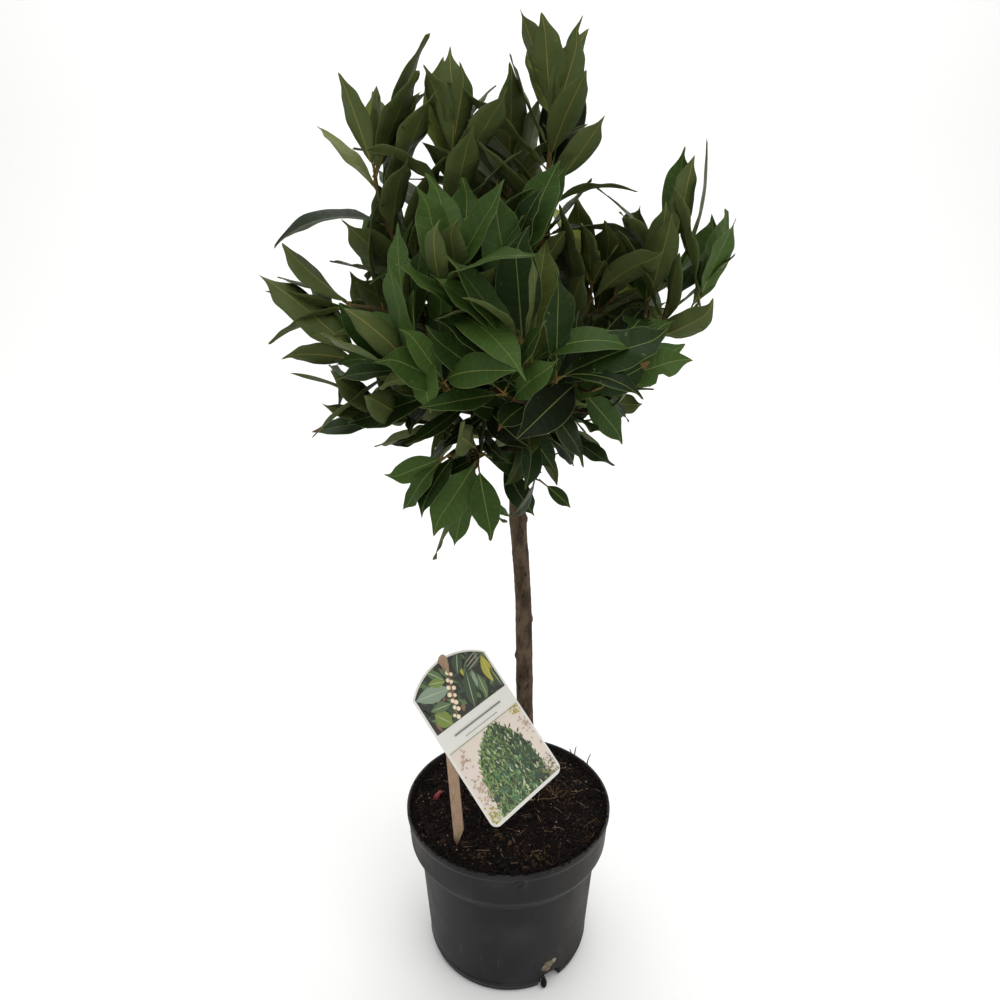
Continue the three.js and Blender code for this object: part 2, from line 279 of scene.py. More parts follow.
@dataclass
class Heap:
    """Surfaces that are joined into one piece."""

    parts: list[Surface] = field(default_factory=list)

    def add(self, part: Surface) -> None:
        """Puts one more surface on the heap."""
        self.parts.append(part)

    def piece(
        self, name: str, slot: str, finishes: list[bpy.types.Material], smooth: bool = True
    ) -> bpy.types.Object:
        """Joins the heap into one Blender object that rides with the plant.

        Args:
            name: the piece's name.
            slot: not used.
            finishes: its materials, by finish number.
            smooth: whether its faces are shaded smoothly.

        Returns:
            The object.
        """
        starts = np.cumsum([0] + [len(part.points) for part in self.parts])
        points = np.concatenate([part.points for part in self.parts])
        faces = np.concatenate([np.where(p.faces < 0, -1, p.faces + s) for p, s in zip(self.parts, starts)])
        finish = np.concatenate([part.finish for part in self.parts])
        used, finish = np.unique(finish, return_inverse=True)
        mesh = bpy.data.meshes.new(name)
        corners = faces[faces >= 0]
        counts = (faces >= 0).sum(1)
        mesh.vertices.add(len(points))
        mesh.vertices.foreach_set("co", points.astype(np.float32).ravel())
        mesh.loops.add(len(corners))
        mesh.loops.foreach_set("vertex_index", corners.astype(np.int32))
        mesh.polygons.add(len(faces))
        mesh.polygons.foreach_set("loop_start", (np.cumsum(counts) - counts).astype(np.int32))
        mesh.polygons.foreach_set("material_index", finish.astype(np.int32))
        mesh.polygons.foreach_set("use_smooth", np.full(len(faces), smooth))
        for number in used:
            mesh.materials.append(finishes[number])
        mesh.update(calc_edges=True)
        mesh.validate()
        made = bpy.data.objects.new(name, mesh)
        bpy.context.scene.collection.objects.link(made)
        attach(made, "root")
        LOG.info("%s: %d triangles", name, (counts - 2).sum())
        return made


def node_points(name: str) -> np.ndarray:
    """The corners of a node of the frame."""
    mesh = FRAME["nodes"][name].data
    flat = np.empty(len(mesh.vertices) * 3, np.float32)
    mesh.vertices.foreach_get("co", flat)
    return flat.reshape(-1, 3).astype(float)


def node_edges(name: str) -> np.ndarray:
    """Both ends of every edge of a node of the frame, as an array of edges x 2 x 3."""
    mesh = FRAME["nodes"][name].data
    ends = np.empty(len(mesh.edges) * 2, np.int32)
    mesh.edges.foreach_get("vertices", ends)
    return node_points(name)[ends.reshape(-1, 2)]


def slices(
    name: str, start: np.ndarray, end: np.ndarray, shares: np.ndarray
) -> tuple[np.ndarray, np.ndarray]:
    """Cuts a limb of the frame square to a chord and fits a circle to each cut by least squares.

    Args:
        name: the limb's node.
        start: start of the chord.
        end: end of the chord.
        shares: where along the chord the cuts lie.

    Returns:
        The middle and the radius of each cut.
    """
    edges = node_edges(name)
    along = unit(end - start)
    side = unit(np.cross(along, np.eye(3)[np.argmin(np.abs(along))]))
    upper = np.cross(along, side)
    height = (edges - start) @ along / np.linalg.norm(end - start)
    middles, radii = [], []
    for share in shares:
        low, high = height[:, 0] - share, height[:, 1] - share
        hit = low * high < 0
        t = (low[hit] / (low[hit] - high[hit]))[:, None]
        ring = edges[hit, 0] * (1 - t) + edges[hit, 1] * t
        a, b = (ring - start) @ side, (ring - start) @ upper
        system = np.stack([2 * a, 2 * b, np.ones_like(a)], -1)
        (x, y, c), *_ = np.linalg.lstsq(system, a**2 + b**2, rcond=None)
        middles.append(start + along * share * np.linalg.norm(end - start) + side * x + upper * y)
        radii.append(math.sqrt(max(c + x * x + y * y, 0)))
    return np.array(middles), np.array(radii)


# ---------------------------------------------------------------------------------------------- finishes


def add_node(tree: bpy.types.NodeTree, kind: str, inputs: dict | None = None, **settings) -> bpy.types.Node:
    """Adds one node to a node tree.

    Args:
        tree: the tree.
        kind: the node's type.
        inputs: values or sockets by the name or number of the input that they go to.
        settings: values of the node's own settings.

    Returns:
        The node.
    """
    made = tree.nodes.new(kind)
    for key, value in settings.items():
        setattr(made, key, value)
    for key, value in (inputs or {}).items():
        if isinstance(value, bpy.types.NodeSocket):
            tree.links.new(value, made.inputs[key])
        else:
            made.inputs[key].default_value = value
    return made


def blended(
    tree: bpy.types.NodeTree, share: bpy.types.NodeSocket, low: object, high: object
) -> bpy.types.NodeSocket:
    """A colour that goes from low to high with a share; each is a hex colour or a socket."""
    ends = {6: low, 7: high}
    inputs = {key: linear(value) if isinstance(value, str) else value for key, value in ends.items()}
    return add_node(tree, "ShaderNodeMix", {0: share, **inputs}, data_type="RGBA").outputs[2]


def stepped(
    tree: bpy.types.NodeTree, value: bpy.types.NodeSocket, low: float, high: float
) -> bpy.types.NodeSocket:
    """A value that goes from 0 at low to 1 at high and stays there."""
    limits = {"Value": value, "From Min": low, "From Max": high}
    return add_node(tree, "ShaderNodeMapRange", limits, interpolation_type="SMOOTHSTEP").outputs["Result"]


def grain(
    tree: bpy.types.NodeTree, size: float, stretch: tuple[float, float, float] = (1, 1, 1), detail: float = 4
) -> bpy.types.NodeSocket:
    """Noise in the piece's own metres.

    Args:
        tree: the tree.
        size: length of one blotch in metres.
        stretch: how many times longer a blotch is along X, Y and Z.
        detail: octaves of finer noise.

    Returns:
        The noise value, from 0 to 1.
    """
    place = add_node(tree, "ShaderNodeTexCoord").outputs["Object"]
    scale = tuple(1 / s for s in stretch)
    shrunk = add_node(tree, "ShaderNodeMapping", {"Vector": place, "Scale": scale}).outputs[0]
    inputs = {"Vector": shrunk, "Scale": 1 / size, "Detail": detail}
    return add_node(tree, "ShaderNodeTexNoise", inputs).outputs[0]


@dataclass(frozen=True)
class Finish:
    """A surface with a base colour, a roughness, and a fine grain that only catches the light."""

    name: str
    colour: str
    roughness: float = 0.5
    specular: float = 0.5
    grain_size: float = 0.6 * MM
    grain_height: float = 0.02 * MM
    coat: float = 0.0

    def material(self) -> bpy.types.Material:
        """Makes the material: a Principled shader, dressed by dress."""
        made = bpy.data.materials.new(self.name)
        made.use_nodes = True
        made.diffuse_color = linear(self.colour)
        tree = made.node_tree
        shader = tree.nodes["Principled BSDF"]
        shader.inputs["Base Color"].default_value = linear(self.colour)
        shader.inputs["Roughness"].default_value = self.roughness
        shader.inputs["Specular IOR Level"].default_value = self.specular
        shader.inputs["Coat Weight"].default_value = self.coat
        shader.inputs["Coat Roughness"].default_value = 0.35
        self.dress(tree, shader)
        return made

    def dress(self, tree: bpy.types.NodeTree, shader: bpy.types.Node) -> None:
        """Adds the fine grain as a bump."""
        self.bump(tree, shader, grain(tree, self.grain_size), self.grain_height)

    def bump(
        self, tree: bpy.types.NodeTree, shader: bpy.types.Node, height: bpy.types.NodeSocket, depth: float
    ) -> None:
        """Raises the surface with a height value, by a depth in metres."""
        inputs = {"Height": height, "Distance": depth, "Strength": 1.0}
        made = add_node(tree, "ShaderNodeBump", inputs)
        tree.links.new(made.outputs[0], shader.inputs["Normal"])


@dataclass(frozen=True)
class MouldedPlastic(Finish):
    """Injection-moulded black polypropylene: a satin skin, greyed by dust and by scuffs from handling."""

    dust: str = "#4c4a47"
    scuff: str = "#6d6a66"
    # Both sides of the pot blend towards this lighter brown: partly dust, partly painted sheen.
    side_dust_and_sheen: str = "#2b2723"
    dusty_roughness: float = 0.68
    right_side: tuple[float, float] = (20 * MM, 85 * MM)
    left_side: tuple[float, float] = (-50 * MM, -95 * MM)

    def dress(self, tree: bpy.types.NodeTree, shader: bpy.types.Node) -> None:
        """Dust lies in wide soft blotches. The pot's two sides are lighter and browner, partly dust and partly
        painted sheen. Scuffs are upright streaks.
        """
        blotch = stepped(tree, grain(tree, 45 * MM), 0.42, 0.72)
        streak = stepped(tree, grain(tree, 9 * MM, (0.7, 0.7, 3)), 0.58, 0.80)
        fleck = stepped(tree, grain(tree, 2.2 * MM), 0.68, 0.76)
        dust_and_sheen = blended(tree, blotch, self.colour, self.dust)
        place = add_node(tree, "ShaderNodeTexCoord").outputs["Object"]
        across = add_node(tree, "ShaderNodeSeparateXYZ", {0: place}).outputs["X"]
        # Painted sheen and dust: the pot's two sides, placed by X, turn lighter and browner.
        for side in (self.right_side, self.left_side):
            dust_and_sheen = blended(tree, stepped(tree, across, *side), dust_and_sheen, self.side_dust_and_sheen)
        faint = add_node(tree, "ShaderNodeMath", {0: streak, 1: 0.30}, operation="MULTIPLY").outputs[0]
        scuffed = blended(tree, faint, dust_and_sheen, self.scuff)
        light = add_node(tree, "ShaderNodeMath", {0: fleck, 1: 0.22}, operation="MULTIPLY").outputs[0]
        tree.links.new(blended(tree, light, scuffed, self.scuff), shader.inputs["Base Color"])
        limits = {"Value": blotch, "To Min": self.roughness, "To Max": self.dusty_roughness}
        rough = add_node(tree, "ShaderNodeMapRange", limits)
        tree.links.new(rough.outputs["Result"], shader.inputs["Roughness"])
        self.bump(tree, shader, grain(tree, 0.8 * MM), 0.03 * MM)


@dataclass(frozen=True)
class Bark(Finish):
    """Young bay bark: grey-brown with dark cracks and pale corky dots low down, and olive green higher up."""

    crack: str = "#1f1710"
    pale: str = "#5c4c3c"
    green: str = "#3a3c22"
    brown_up_to: float = 0.40
    green_from: float = 0.50

    def dress(self, tree: bpy.types.NodeTree, shader: bpy.types.Node) -> None:
        """Blotches run along the stem, corky dots are small and pale, and height turns brown to green."""
        along = (1, 1, 2)
        blotch = stepped(tree, grain(tree, 8 * MM, along), 0.36, 0.64)
        crack = stepped(tree, grain(tree, 4 * MM, (1, 1, 3)), 0.58, 0.72)
        dot = stepped(tree, grain(tree, 1.4 * MM, (1.6, 1.6, 0.7), 1), 0.68, 0.74)
        bark = blended(tree, blotch, self.colour, self.pale)
        bark = blended(tree, crack, bark, self.crack)
        place = add_node(tree, "ShaderNodeTexCoord").outputs["Object"]
        height = add_node(tree, "ShaderNodeSeparateXYZ", {0: place}).outputs["Z"]
        shade = stepped(tree, height, self.brown_up_to, self.green_from)
        half = add_node(tree, "ShaderNodeMath", {0: shade, 1: 0.85}, operation="MULTIPLY").outputs[0]
        bark = blended(tree, half, bark, self.green)
        tree.links.new(blended(tree, dot, bark, self.pale), shader.inputs["Base Color"])
        self.bump(tree, shader, grain(tree, 1.6 * MM, (1, 1, 3)), 0.25 * MM)


@dataclass(frozen=True)
class Peat(Finish):
    """Damp peat compost: near black, with browner and drier patches, and no shine."""

    dry: str = "#281b14"

    def dress(self, tree: bpy.types.NodeTree, shader: bpy.types.Node) -> None:
        """Drier patches are browner, and a coarse grain breaks the surface."""
        patch = stepped(tree, grain(tree, 14 * MM), 0.48, 0.75)
        tree.links.new(blended(tree, patch, self.colour, self.dry), shader.inputs["Base Color"])
        self.bump(tree, shader, grain(tree, 2.0 * MM), 0.8 * MM)


@dataclass(frozen=True)
class SawnWood(Finish):
    """Plain sawn softwood: a warm tan with darker lines along the grain."""

    line: str = "#8b7059"
    foot_dark: str = "#3c2a20"
    pale: str = "#b59d86"
    tan_from: float = 158 * MM
    dark_up_to: float = 145 * MM

    def dress(self, tree: bpy.types.NodeTree, shader: bpy.types.Node) -> None:
        """The grain's lines are fine across the stick and long along it, and the stick turns darker towards
        its foot.
        """
        line = stepped(tree, grain(tree, 1.1 * MM, (1, 1, 40)), 0.45, 0.70)
        blotch = stepped(tree, grain(tree, 12 * MM, (1, 1, 3)), 0.45, 0.75)
        wood = blended(tree, line, self.colour, self.line)
        place = add_node(tree, "ShaderNodeTexCoord").outputs["Object"]
        height = add_node(tree, "ShaderNodeSeparateXYZ", {0: place}).outputs["Z"]
        # The stick turns darker towards its foot, just above the compost.
        wood = blended(tree, stepped(tree, height, self.tan_from, self.dark_up_to), wood, self.foot_dark)
        faint = add_node(tree, "ShaderNodeMath", {0: blotch, 1: 0.4}, operation="MULTIPLY").outputs[0]
        tree.links.new(blended(tree, faint, wood, self.pale), shader.inputs["Base Color"])
        self.bump(tree, shader, line, 0.08 * MM)


class LeafPart(IntEnum):
    """Finish numbers on a leaf piece that come after the blade greens."""

    MIDRIB = 16
    MARGIN = 17
    UNDERSIDE = 18
    UNDER_VEIN = 19
    UNDER_MIDRIB = 20
    PETIOLE = 21
    SCORCHED = 22


# Two scales of greens from dark to light. Low and inner leaves take the deep ones as painted shade. Higher
# leaves take the olive ones more often, partly as their own yellower colour and partly as painted light from
# above.
DEEP_GREENS = ("#0f1807", "#16220b", "#1e2e10", "#273a15", "#31471b", "#3c5322", "#495f2b", "#576b37")
OLIVE_GREENS = ("#232a10", "#2f3716", "#3c451c", "#4a5324", "#585f2c", "#666e35", "#76803a", "#8c9647")
BLADE_GREENS = DEEP_GREENS + OLIVE_GREENS
# Bay leaves have a leathery cuticle: a satin green that takes soft lights from above, slightly puckered.
# Midribs are yellow green, margins pale, and undersides duller and lighter. Scorched tips are brown and matt.
LEAF_FINISHES = [
    *(Finish(f"bay_leaf_cuticle_{number}", green, 0.50, 0.10, grain_size=5 * MM, grain_height=0.5 * MM)
      for number, green in enumerate(BLADE_GREENS)),
    Finish("bay_midrib", "#677139", 0.5, 0.2),
    Finish("bay_leaf_margin", "#4f5b30", 0.5, 0.2),
    Finish("bay_leaf_underside", "#4b562c", 0.6, 0.15),
    Finish("bay_vein_below", "#4f5a2f", 0.6, 0.15),
    Finish("bay_midrib_below", "#7f7439", 0.55, 0.2),
    Finish("bay_petiole", "#6b5a28", 0.5, 0.25),
    Finish("bay_leaf_scorch", "#5f4a26", 0.7, 0.2),
]
TONES = len(DEEP_GREENS)


# ---------------------------------------------------------------------------------------------- leaves


@dataclass(frozen=True)
class LeafForm:
    """Shape and pose of one leaf.

    The blade starts at base and points along, with upper as its upper side's direction. Curl and twist are
    angles over its whole length, fold and wave are slopes, and phase shifts the wave. Widest is the share of
    the length where it is widest, point is how slim the tip is, and hook how far the tip turns sideways.
    """

    base: np.ndarray
    along: np.ndarray
    upper: np.ndarray
    length: float
    width: float
    curl: float
    fold: float
    wave: float
    twist: float
    phase: float
    widest: float
    point: float
    hook: float
    tone: int = 0
    bite: float = 0.0
    scorched: bool = False

    def midrib(self, shares: np.ndarray) -> np.ndarray:
        """Points on the midrib, an arc of constant bend: (sin(cv)/c) along + ((1 - cos(cv))/c) upper."""
        bend_angle = self.curl if abs(self.curl) > 1e-3 else 1e-3
        turned_by = bend_angle * shares[..., None]
        forward = np.sin(turned_by) / bend_angle
        rise = (1 - np.cos(turned_by)) / bend_angle
        return self.base + self.length * (forward * self.along + rise * self.upper)


@dataclass(frozen=True)
class LeafPattern:
    """The grid that every leaf shares: rows follow the side veins, and columns run from margin to margin."""

    veins: int = 9
    first_vein: float = 0.09
    last_vein: float = 0.86
    vein_half_width: float = 0.0035
    vein_slant: float = 0.62
    columns: tuple[float, ...] = (-1.0, -0.965, -0.5, -0.04, 0.04, 0.5, 0.965, 1.0)
    under_columns: tuple[float, ...] = (-1.0, -0.5, -0.05, 0.05, 0.5, 1.0)
    midrib_half_width: float = 0.45 * MM
    thickness: float = 0.36 * MM
    keel: float = 0.6 * MM
    furrow: float = 0.30 * MM
    pillow: float = 0.26 * MM

    def lines(self) -> tuple[np.ndarray, np.ndarray]:
        """Where the rows cross the midrib, and what each is: -1 beside a vein, 1 between two, 0 else."""
        centres = np.linspace(self.first_vein, self.last_vein, self.veins)
        step = centres[1] - centres[0]
        half = self.vein_half_width
        triple = np.stack([centres - half, centres + half, centres + step / 2], 1)
        kinds = np.tile([-1, -1, 1], self.veins)
        kinds[-1] = 0
        shares = np.concatenate([[0.0, 0.03], triple.ravel(), [0.97, 1.0]])
        return shares, np.concatenate([[0, 0], kinds, [0, 0]])

    def half_width(self, v: np.ndarray, leaf: LeafForm) -> np.ndarray:
        """Half width as a share of the widest: sin(pi v^p)^e, with a wedge-shaped foot and a slim tip.

        Args:
            v: share of the length.
            leaf: its widest place sets p, and its point how slim the tip is.

        Returns:
            The half width at each v.
        """
        power = math.log(0.5) / math.log(leaf.widest)
        oval = np.maximum(np.sin(math.pi * np.clip(v, 0, 1) ** power), 0)
        fullness = 1.25 - 0.5 * smooth_step(0.1, 0.6, v)
        return oval**fullness * (1 - leaf.point * smooth_step(0.74, 0.94, v))

    def faces(self) -> tuple[np.ndarray, np.ndarray]:
        """Faces and finishes of a leaf of tone 0. Rows run to a single point at both ends.

        Returns:
            The faces, and their finish numbers: 0 is the blade, 1 a side vein, the others are LeafPart's.
        """
        shares, kinds = self.lines()
        rows, columns, under_columns = len(shares), len(self.columns), len(self.under_columns)
        count = rows * columns
        top = grid_faces(rows, columns, False)
        under = grid_faces(rows, under_columns, False)[:, ::-1] + count
        strip, column = (a.ravel() for a in np.mgrid[0 : rows - 1, 0 : columns - 1])
        on_vein = (kinds[strip] == -1) & (kinds[strip + 1] == -1)
        middle = (columns - 2) // 2
        finish = np.where(column == middle, LeafPart.MIDRIB, on_vein.astype(int))
        finish = np.where((column == 0) | (column == columns - 2), LeafPart.MARGIN, finish)
        strip, column = (a.ravel() for a in np.mgrid[0 : rows - 1, 0 : under_columns - 1])
        on_vein = (kinds[strip] == -1) & (kinds[strip + 1] == -1)
        under_finish = np.where(on_vein, LeafPart.UNDER_VEIN, LeafPart.UNDERSIDE)
        under_finish = np.where(column == (under_columns - 2) // 2, LeafPart.UNDER_MIDRIB, under_finish)
        left, low_left = np.arange(rows - 1) * columns, np.arange(rows - 1) * under_columns + count
        right, low_right = left + columns - 1, low_left + under_columns - 1
        rim = np.concatenate([
            np.stack([left, left + columns, low_left + under_columns, low_left], -1),
            np.stack([right + columns, right, low_right, low_right + under_columns], -1),
        ])
        faces = np.concatenate([top, under, rim])
        finish = np.concatenate([finish, under_finish, np.full(len(rim), LeafPart.MARGIN)])
        total = count + rows * under_columns
        merged = np.arange(total)
        for low, high in ((0, columns), (count - columns, count)):
            merged[low:high] = low
        merged[count : count + under_columns] = 0
        merged[total - under_columns :] = count - columns
        return self.without_doubles(merged[faces], finish)

    @staticmethod
    def without_doubles(faces: np.ndarray, finish: np.ndarray) -> tuple[np.ndarray, np.ndarray]:
        """Turns faces with one doubled corner into triangles, and drops those with more."""
        doubled = faces == np.roll(faces, -1, axis=1)
        kept = doubled.sum(1) < 2
        faces, finish, doubled = faces[kept], finish[kept], doubled[kept]
        three = doubled.any(1)
        order = np.argsort(doubled[three], axis=1, kind="stable")
        shortened = np.take_along_axis(faces[three], order, 1)
        shortened[:, 3] = -1
        faces[three] = shortened
        return faces, finish

    def blade(self, leaf: LeafForm) -> np.ndarray:
        """Points of one leaf's upper grid, then of its lower grid.

        A point at share v and u across lies on the bent midrib, moved u times the half width sideways and
        lifted by fold|x| - recurve x^2 + wave|u| sin(2 pi 2.4 v + phase), furrowed at the side veins and
        raised between them.
        """
        shares, kinds = self.lines()
        top, _ = self.sheet(leaf, np.array(self.columns)[None], shares, kinds)
        under, raised = self.sheet(leaf, np.array(self.under_columns)[None], shares, kinds)
        keel = self.keel * (np.abs(np.array(self.under_columns)) < 0.4)[None, :] * (1.1 - shares)[:, None]
        under = under - (self.thickness + keel)[..., None] * raised
        return np.concatenate([top.reshape(-1, 3), under.reshape(-1, 3)])

    def sheet(
        self, leaf: LeafForm, u: np.ndarray, shares: np.ndarray, kinds: np.ndarray
    ) -> tuple[np.ndarray, np.ndarray]:
        """One side of a leaf.

        Args:
            leaf: the leaf.
            u: its columns.
            shares: its rows.
            kinds: what each row is.

        Returns:
            The points, and the direction that is up from the blade at each.
        """
        half = leaf.width / 2
        v_line = shares[:, None]
        slant = self.vein_slant * half * self.half_width(v_line, leaf) / leaf.length
        v = v_line + slant * np.abs(u) * (1 - v_line**3)
        width = half * self.half_width(v, leaf)
        bite = leaf.bite * (u > 0) * np.exp(-(((v - 0.6) / 0.045) ** 2))
        width = width * (1 - bite)
        rib = np.minimum(self.midrib_half_width * (1.15 - 0.75 * v), 0.3 * width)
        x = np.where(np.abs(u) < 0.1, np.sign(u) * rib, u * width)
        across = np.abs(x)
        ripple = np.sin(TAU * 2.4 * v + leaf.phase + 1.3 * np.sign(u))
        ripple = ripple + 0.35 * np.sin(TAU * 4.7 * v - 2 * leaf.phase * np.sign(u))
        lift = leaf.fold * across - 0.6 * leaf.fold * across**2 / half + leaf.wave * half * np.abs(u) * ripple
        puckered = (np.abs(u) > 0.1) & (np.abs(u) < 0.9)
        row = kinds[:, None]
        lift = lift + puckered * (self.pillow * (row > 0) - self.furrow * (row < 0))
        x = x + leaf.hook * leaf.length * np.maximum(v - 0.72, 0) ** 2
        side = np.cross(leaf.along, leaf.upper)
        tangent_angle = (leaf.curl * v)[..., None]
        raised = -np.sin(tangent_angle) * leaf.along + np.cos(tangent_angle) * leaf.upper
        turn = (leaf.twist * v)[..., None]
        side_here = np.cos(turn) * side + np.sin(turn) * raised
        raised_here = np.cos(turn) * raised - np.sin(turn) * side
        return leaf.midrib(v) + x[..., None] * side_here + lift[..., None] * raised_here, raised_here


PATTERN = LeafPattern()
PATTERN_FACES, PATTERN_FINISH = PATTERN.faces()


def leaf_surface(leaf: LeafForm) -> Surface:
    """One closed leaf blade, with its greens counted up from its own tone within its own scale of greens."""
    last = TONES - 1 if leaf.tone < TONES else 2 * TONES - 1
    greens = np.minimum(PATTERN_FINISH + leaf.tone, last)
    finish = np.where(PATTERN_FINISH < LeafPart.MIDRIB, greens, PATTERN_FINISH)
    if leaf.scorched:
        row = PATTERN_FACES[:, 0] // len(PATTERN.columns)
        rows = len(PATTERN.lines()[0])
        finish = np.where((row > rows - 5) & (row < rows), LeafPart.SCORCHED, finish)
    return Surface(PATTERN.blade(leaf), PATTERN_FACES, finish)


def leaf_net(leaf: LeafForm) -> BVHTree:
    """A coarse sheet in a leaf's place, for finding where leaves cross."""
    shares = np.linspace(0.06, 1, 7)
    points, _ = PATTERN.sheet(leaf, np.array([[-0.9, 0.0, 0.9]]), shares, np.zeros(7, int))
    return BVHTree.FromPolygons(points.reshape(-1, 3).tolist(), grid_faces(7, 3, False).tolist())


# ---------------------------------------------------------------------------------------------- crown


@dataclass
class Mass:
    """A mass of leaves in the frame: its bough's root, its foot where that arrives, its tip and girth."""

    name: str
    root: np.ndarray
    foot: np.ndarray
    arrival: np.ndarray
    tip: np.ndarray
    girth: float

    @property
    def heading(self) -> np.ndarray:
        """Direction from the foot to the tip."""
        return unit(self.tip - self.foot)

    @property
    def short(self) -> bool:
        """Whether the mass is only a leaf or two."""
        return bool(np.linalg.norm(self.tip - self.foot) < 50 * MM)


class ShootKind(Enum):
    """What a shoot is: a bough's leading end, a side twig of it, or the bough's own inner part."""

    MAIN = "main"
    SIDE = "side"
    INNER = "inner"


@dataclass
class Shoot:
    """A leafy shoot: its middle line, its thickness at both ends and its kind."""

    path: np.ndarray
    radii: tuple[float, float]
    kind: ShootKind


@dataclass
class Crown:
    """Boughs, shoots and leaves, grown on from the frame's limbs by a seeded rule."""

    low_internode: float = 8 * MM
    top_internode: float = 7 * MM
    leaf_length: tuple[float, float] = (84 * MM, 114 * MM)
    side_leaf_length: tuple[float, float] = (66 * MM, 94 * MM)
    top_leaf_length: tuple[float, float] = (74 * MM, 102 * MM)
    inner_leaf_length: tuple[float, float] = (44 * MM, 68 * MM)
    slimness: tuple[float, float] = (0.31, 0.41)
    low_divergence: float = math.radians(72)
    top_divergence: float = math.radians(27)
    petiole: float = 7 * MM
    tries: int = 12
    least_score: float = 0.58
    wanted_clearance: float = 14 * MM
    margin: float = 8 * MM
    neighbourhood: float = 170 * MM
    crossing_cost: float = 0.08
    inner_allowance: float = 14 * MM
    top_allowance: float = 4 * MM
    tip_leaf_room: float = 66 * MM
    bitten_share: float = 0.06
    scorched_share: float = 0.03
    seed: int = 11
    young_mass: str = "mid_right"
    masses: list[Mass] = field(default_factory=list)
    leaves: dict[str, list[LeafForm]] = field(default_factory=dict)
    shoots: dict[str, list[Shoot]] = field(default_factory=dict)
    taken: list[np.ndarray] = field(default_factory=list)
    nets: list[tuple[np.ndarray, BVHTree]] = field(default_factory=list)

    def read_frame(self) -> None:
        """Finds every bough and mass in the frame, and where the crown's solids end."""
        trunk = node_points("trunk")
        self.trunk_top = trunk[:, 2].max()
        for node in sorted(FRAME["nodes"]):
            if node.startswith("foliage_"):
                self.masses.append(self.read_mass(node.removeprefix("foliage_"), trunk))
        points, faces = [], []
        for mass in self.masses:
            mesh = FRAME["nodes"][f"foliage_{mass.name}"].data
            start = len(points)
            points += [vertex.co.copy() for vertex in mesh.vertices]
            faces += [[start + corner for corner in polygon.vertices] for polygon in mesh.polygons]
        self.outline = BVHTree.FromPolygons(points, faces)
        self.centre = np.mean([mass.foot for mass in self.masses], axis=0)
        self.limits = [np.array(corner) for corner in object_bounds()]

    def read_mass(self, name: str, trunk: np.ndarray) -> Mass:
        """Reads one mass: its foot is the bough's end that is further from the trunk.

        Args:
            name: the limb's name.
            trunk: corners of the trunk.

        Returns:
            The mass.
        """
        bough, leafy = node_points(f"bough_{name}"), node_points(f"foliage_{name}")
        from_trunk = np.linalg.norm(bough[:, None] - trunk[None], axis=-1).min(1)
        far = bough[from_trunk > from_trunk.max() - 4 * MM]
        foot = far[np.linalg.norm(far - leafy.mean(0), axis=1).argsort()[:7]].mean(0)
        near = bough[from_trunk.argsort()[:6]].mean(0)
        axis = unit(leafy.mean(0) - foot)
        reach = (leafy - foot) @ axis
        away = np.linalg.norm(leafy - foot - reach[:, None] * axis, axis=1)
        girth = float(np.percentile(away, 90))
        return Mass(name, near, foot, unit(foot - near), foot + axis * reach.max(), girth)

    def outside(self, points: np.ndarray) -> np.ndarray:
        """How far each point lies outside the crown's solids, negative inside."""
        found = []
        for point in points:
            place, normal, _, distance = self.outline.find_nearest(Vector(point))
            found.append(math.copysign(distance, (Vector(point) - place).dot(normal)))
        return np.array(found)

    def rise(self, mass: Mass) -> float:
        """How high a mass stands in the crown: 0 at the trunk's top and below, 1 at the leader."""
        return float(np.clip((mass.foot[2] - self.trunk_top) / (50 * MM), 0, 1))

    def plan_shoots(self, mass: Mass, rng: np.random.Generator) -> list[Shoot]:
        """The main shoot of a mass, and its side twigs if the mass is a fat one.

        Args:
            mass: the mass.
            rng: the mass's own random numbers.

        Returns:
            The shoots, the main one first.
        """
        length = np.linalg.norm(mass.tip - mass.foot)
        end = mass.foot + mass.heading * max(length - self.tip_leaf_room, 0.3 * length)
        control = mass.foot + mass.arrival * 0.4 * np.linalg.norm(end - mass.foot)
        main = bend(mass.foot, control, end, 14)
        shoots = [Shoot(main, (2.3 * MM, 1.2 * MM), ShootKind.MAIN)]
        count = int(np.clip(round((mass.girth - 27 * MM) / (6 * MM)), 0, 3))
        count = max(count - round(2 * self.rise(mass)), 0)
        start_angle = rng.uniform(0, TAU)
        tangent, side, upper = frames_along(main)
        for index in range(count):
            at = int(len(main) * (0.15 + 0.5 * index / max(count, 1)))
            angle = start_angle + index * GOLDEN_ANGLE
            outward = math.cos(angle) * side[at] + math.sin(angle) * upper[at]
            heading = unit(outward * math.sin(0.8) + tangent[at] * math.cos(0.8))
            reach = mass.girth * rng.uniform(0.6, 0.9)
            finish = main[at] + heading * reach + UP * reach * 0.15
            control = main[at] + unit(outward + 0.35 * tangent[at]) * reach * 0.5
            shoots.append(Shoot(bend(main[at], control, finish, 9), (1.3 * MM, 0.9 * MM), ShootKind.SIDE))
        return shoots

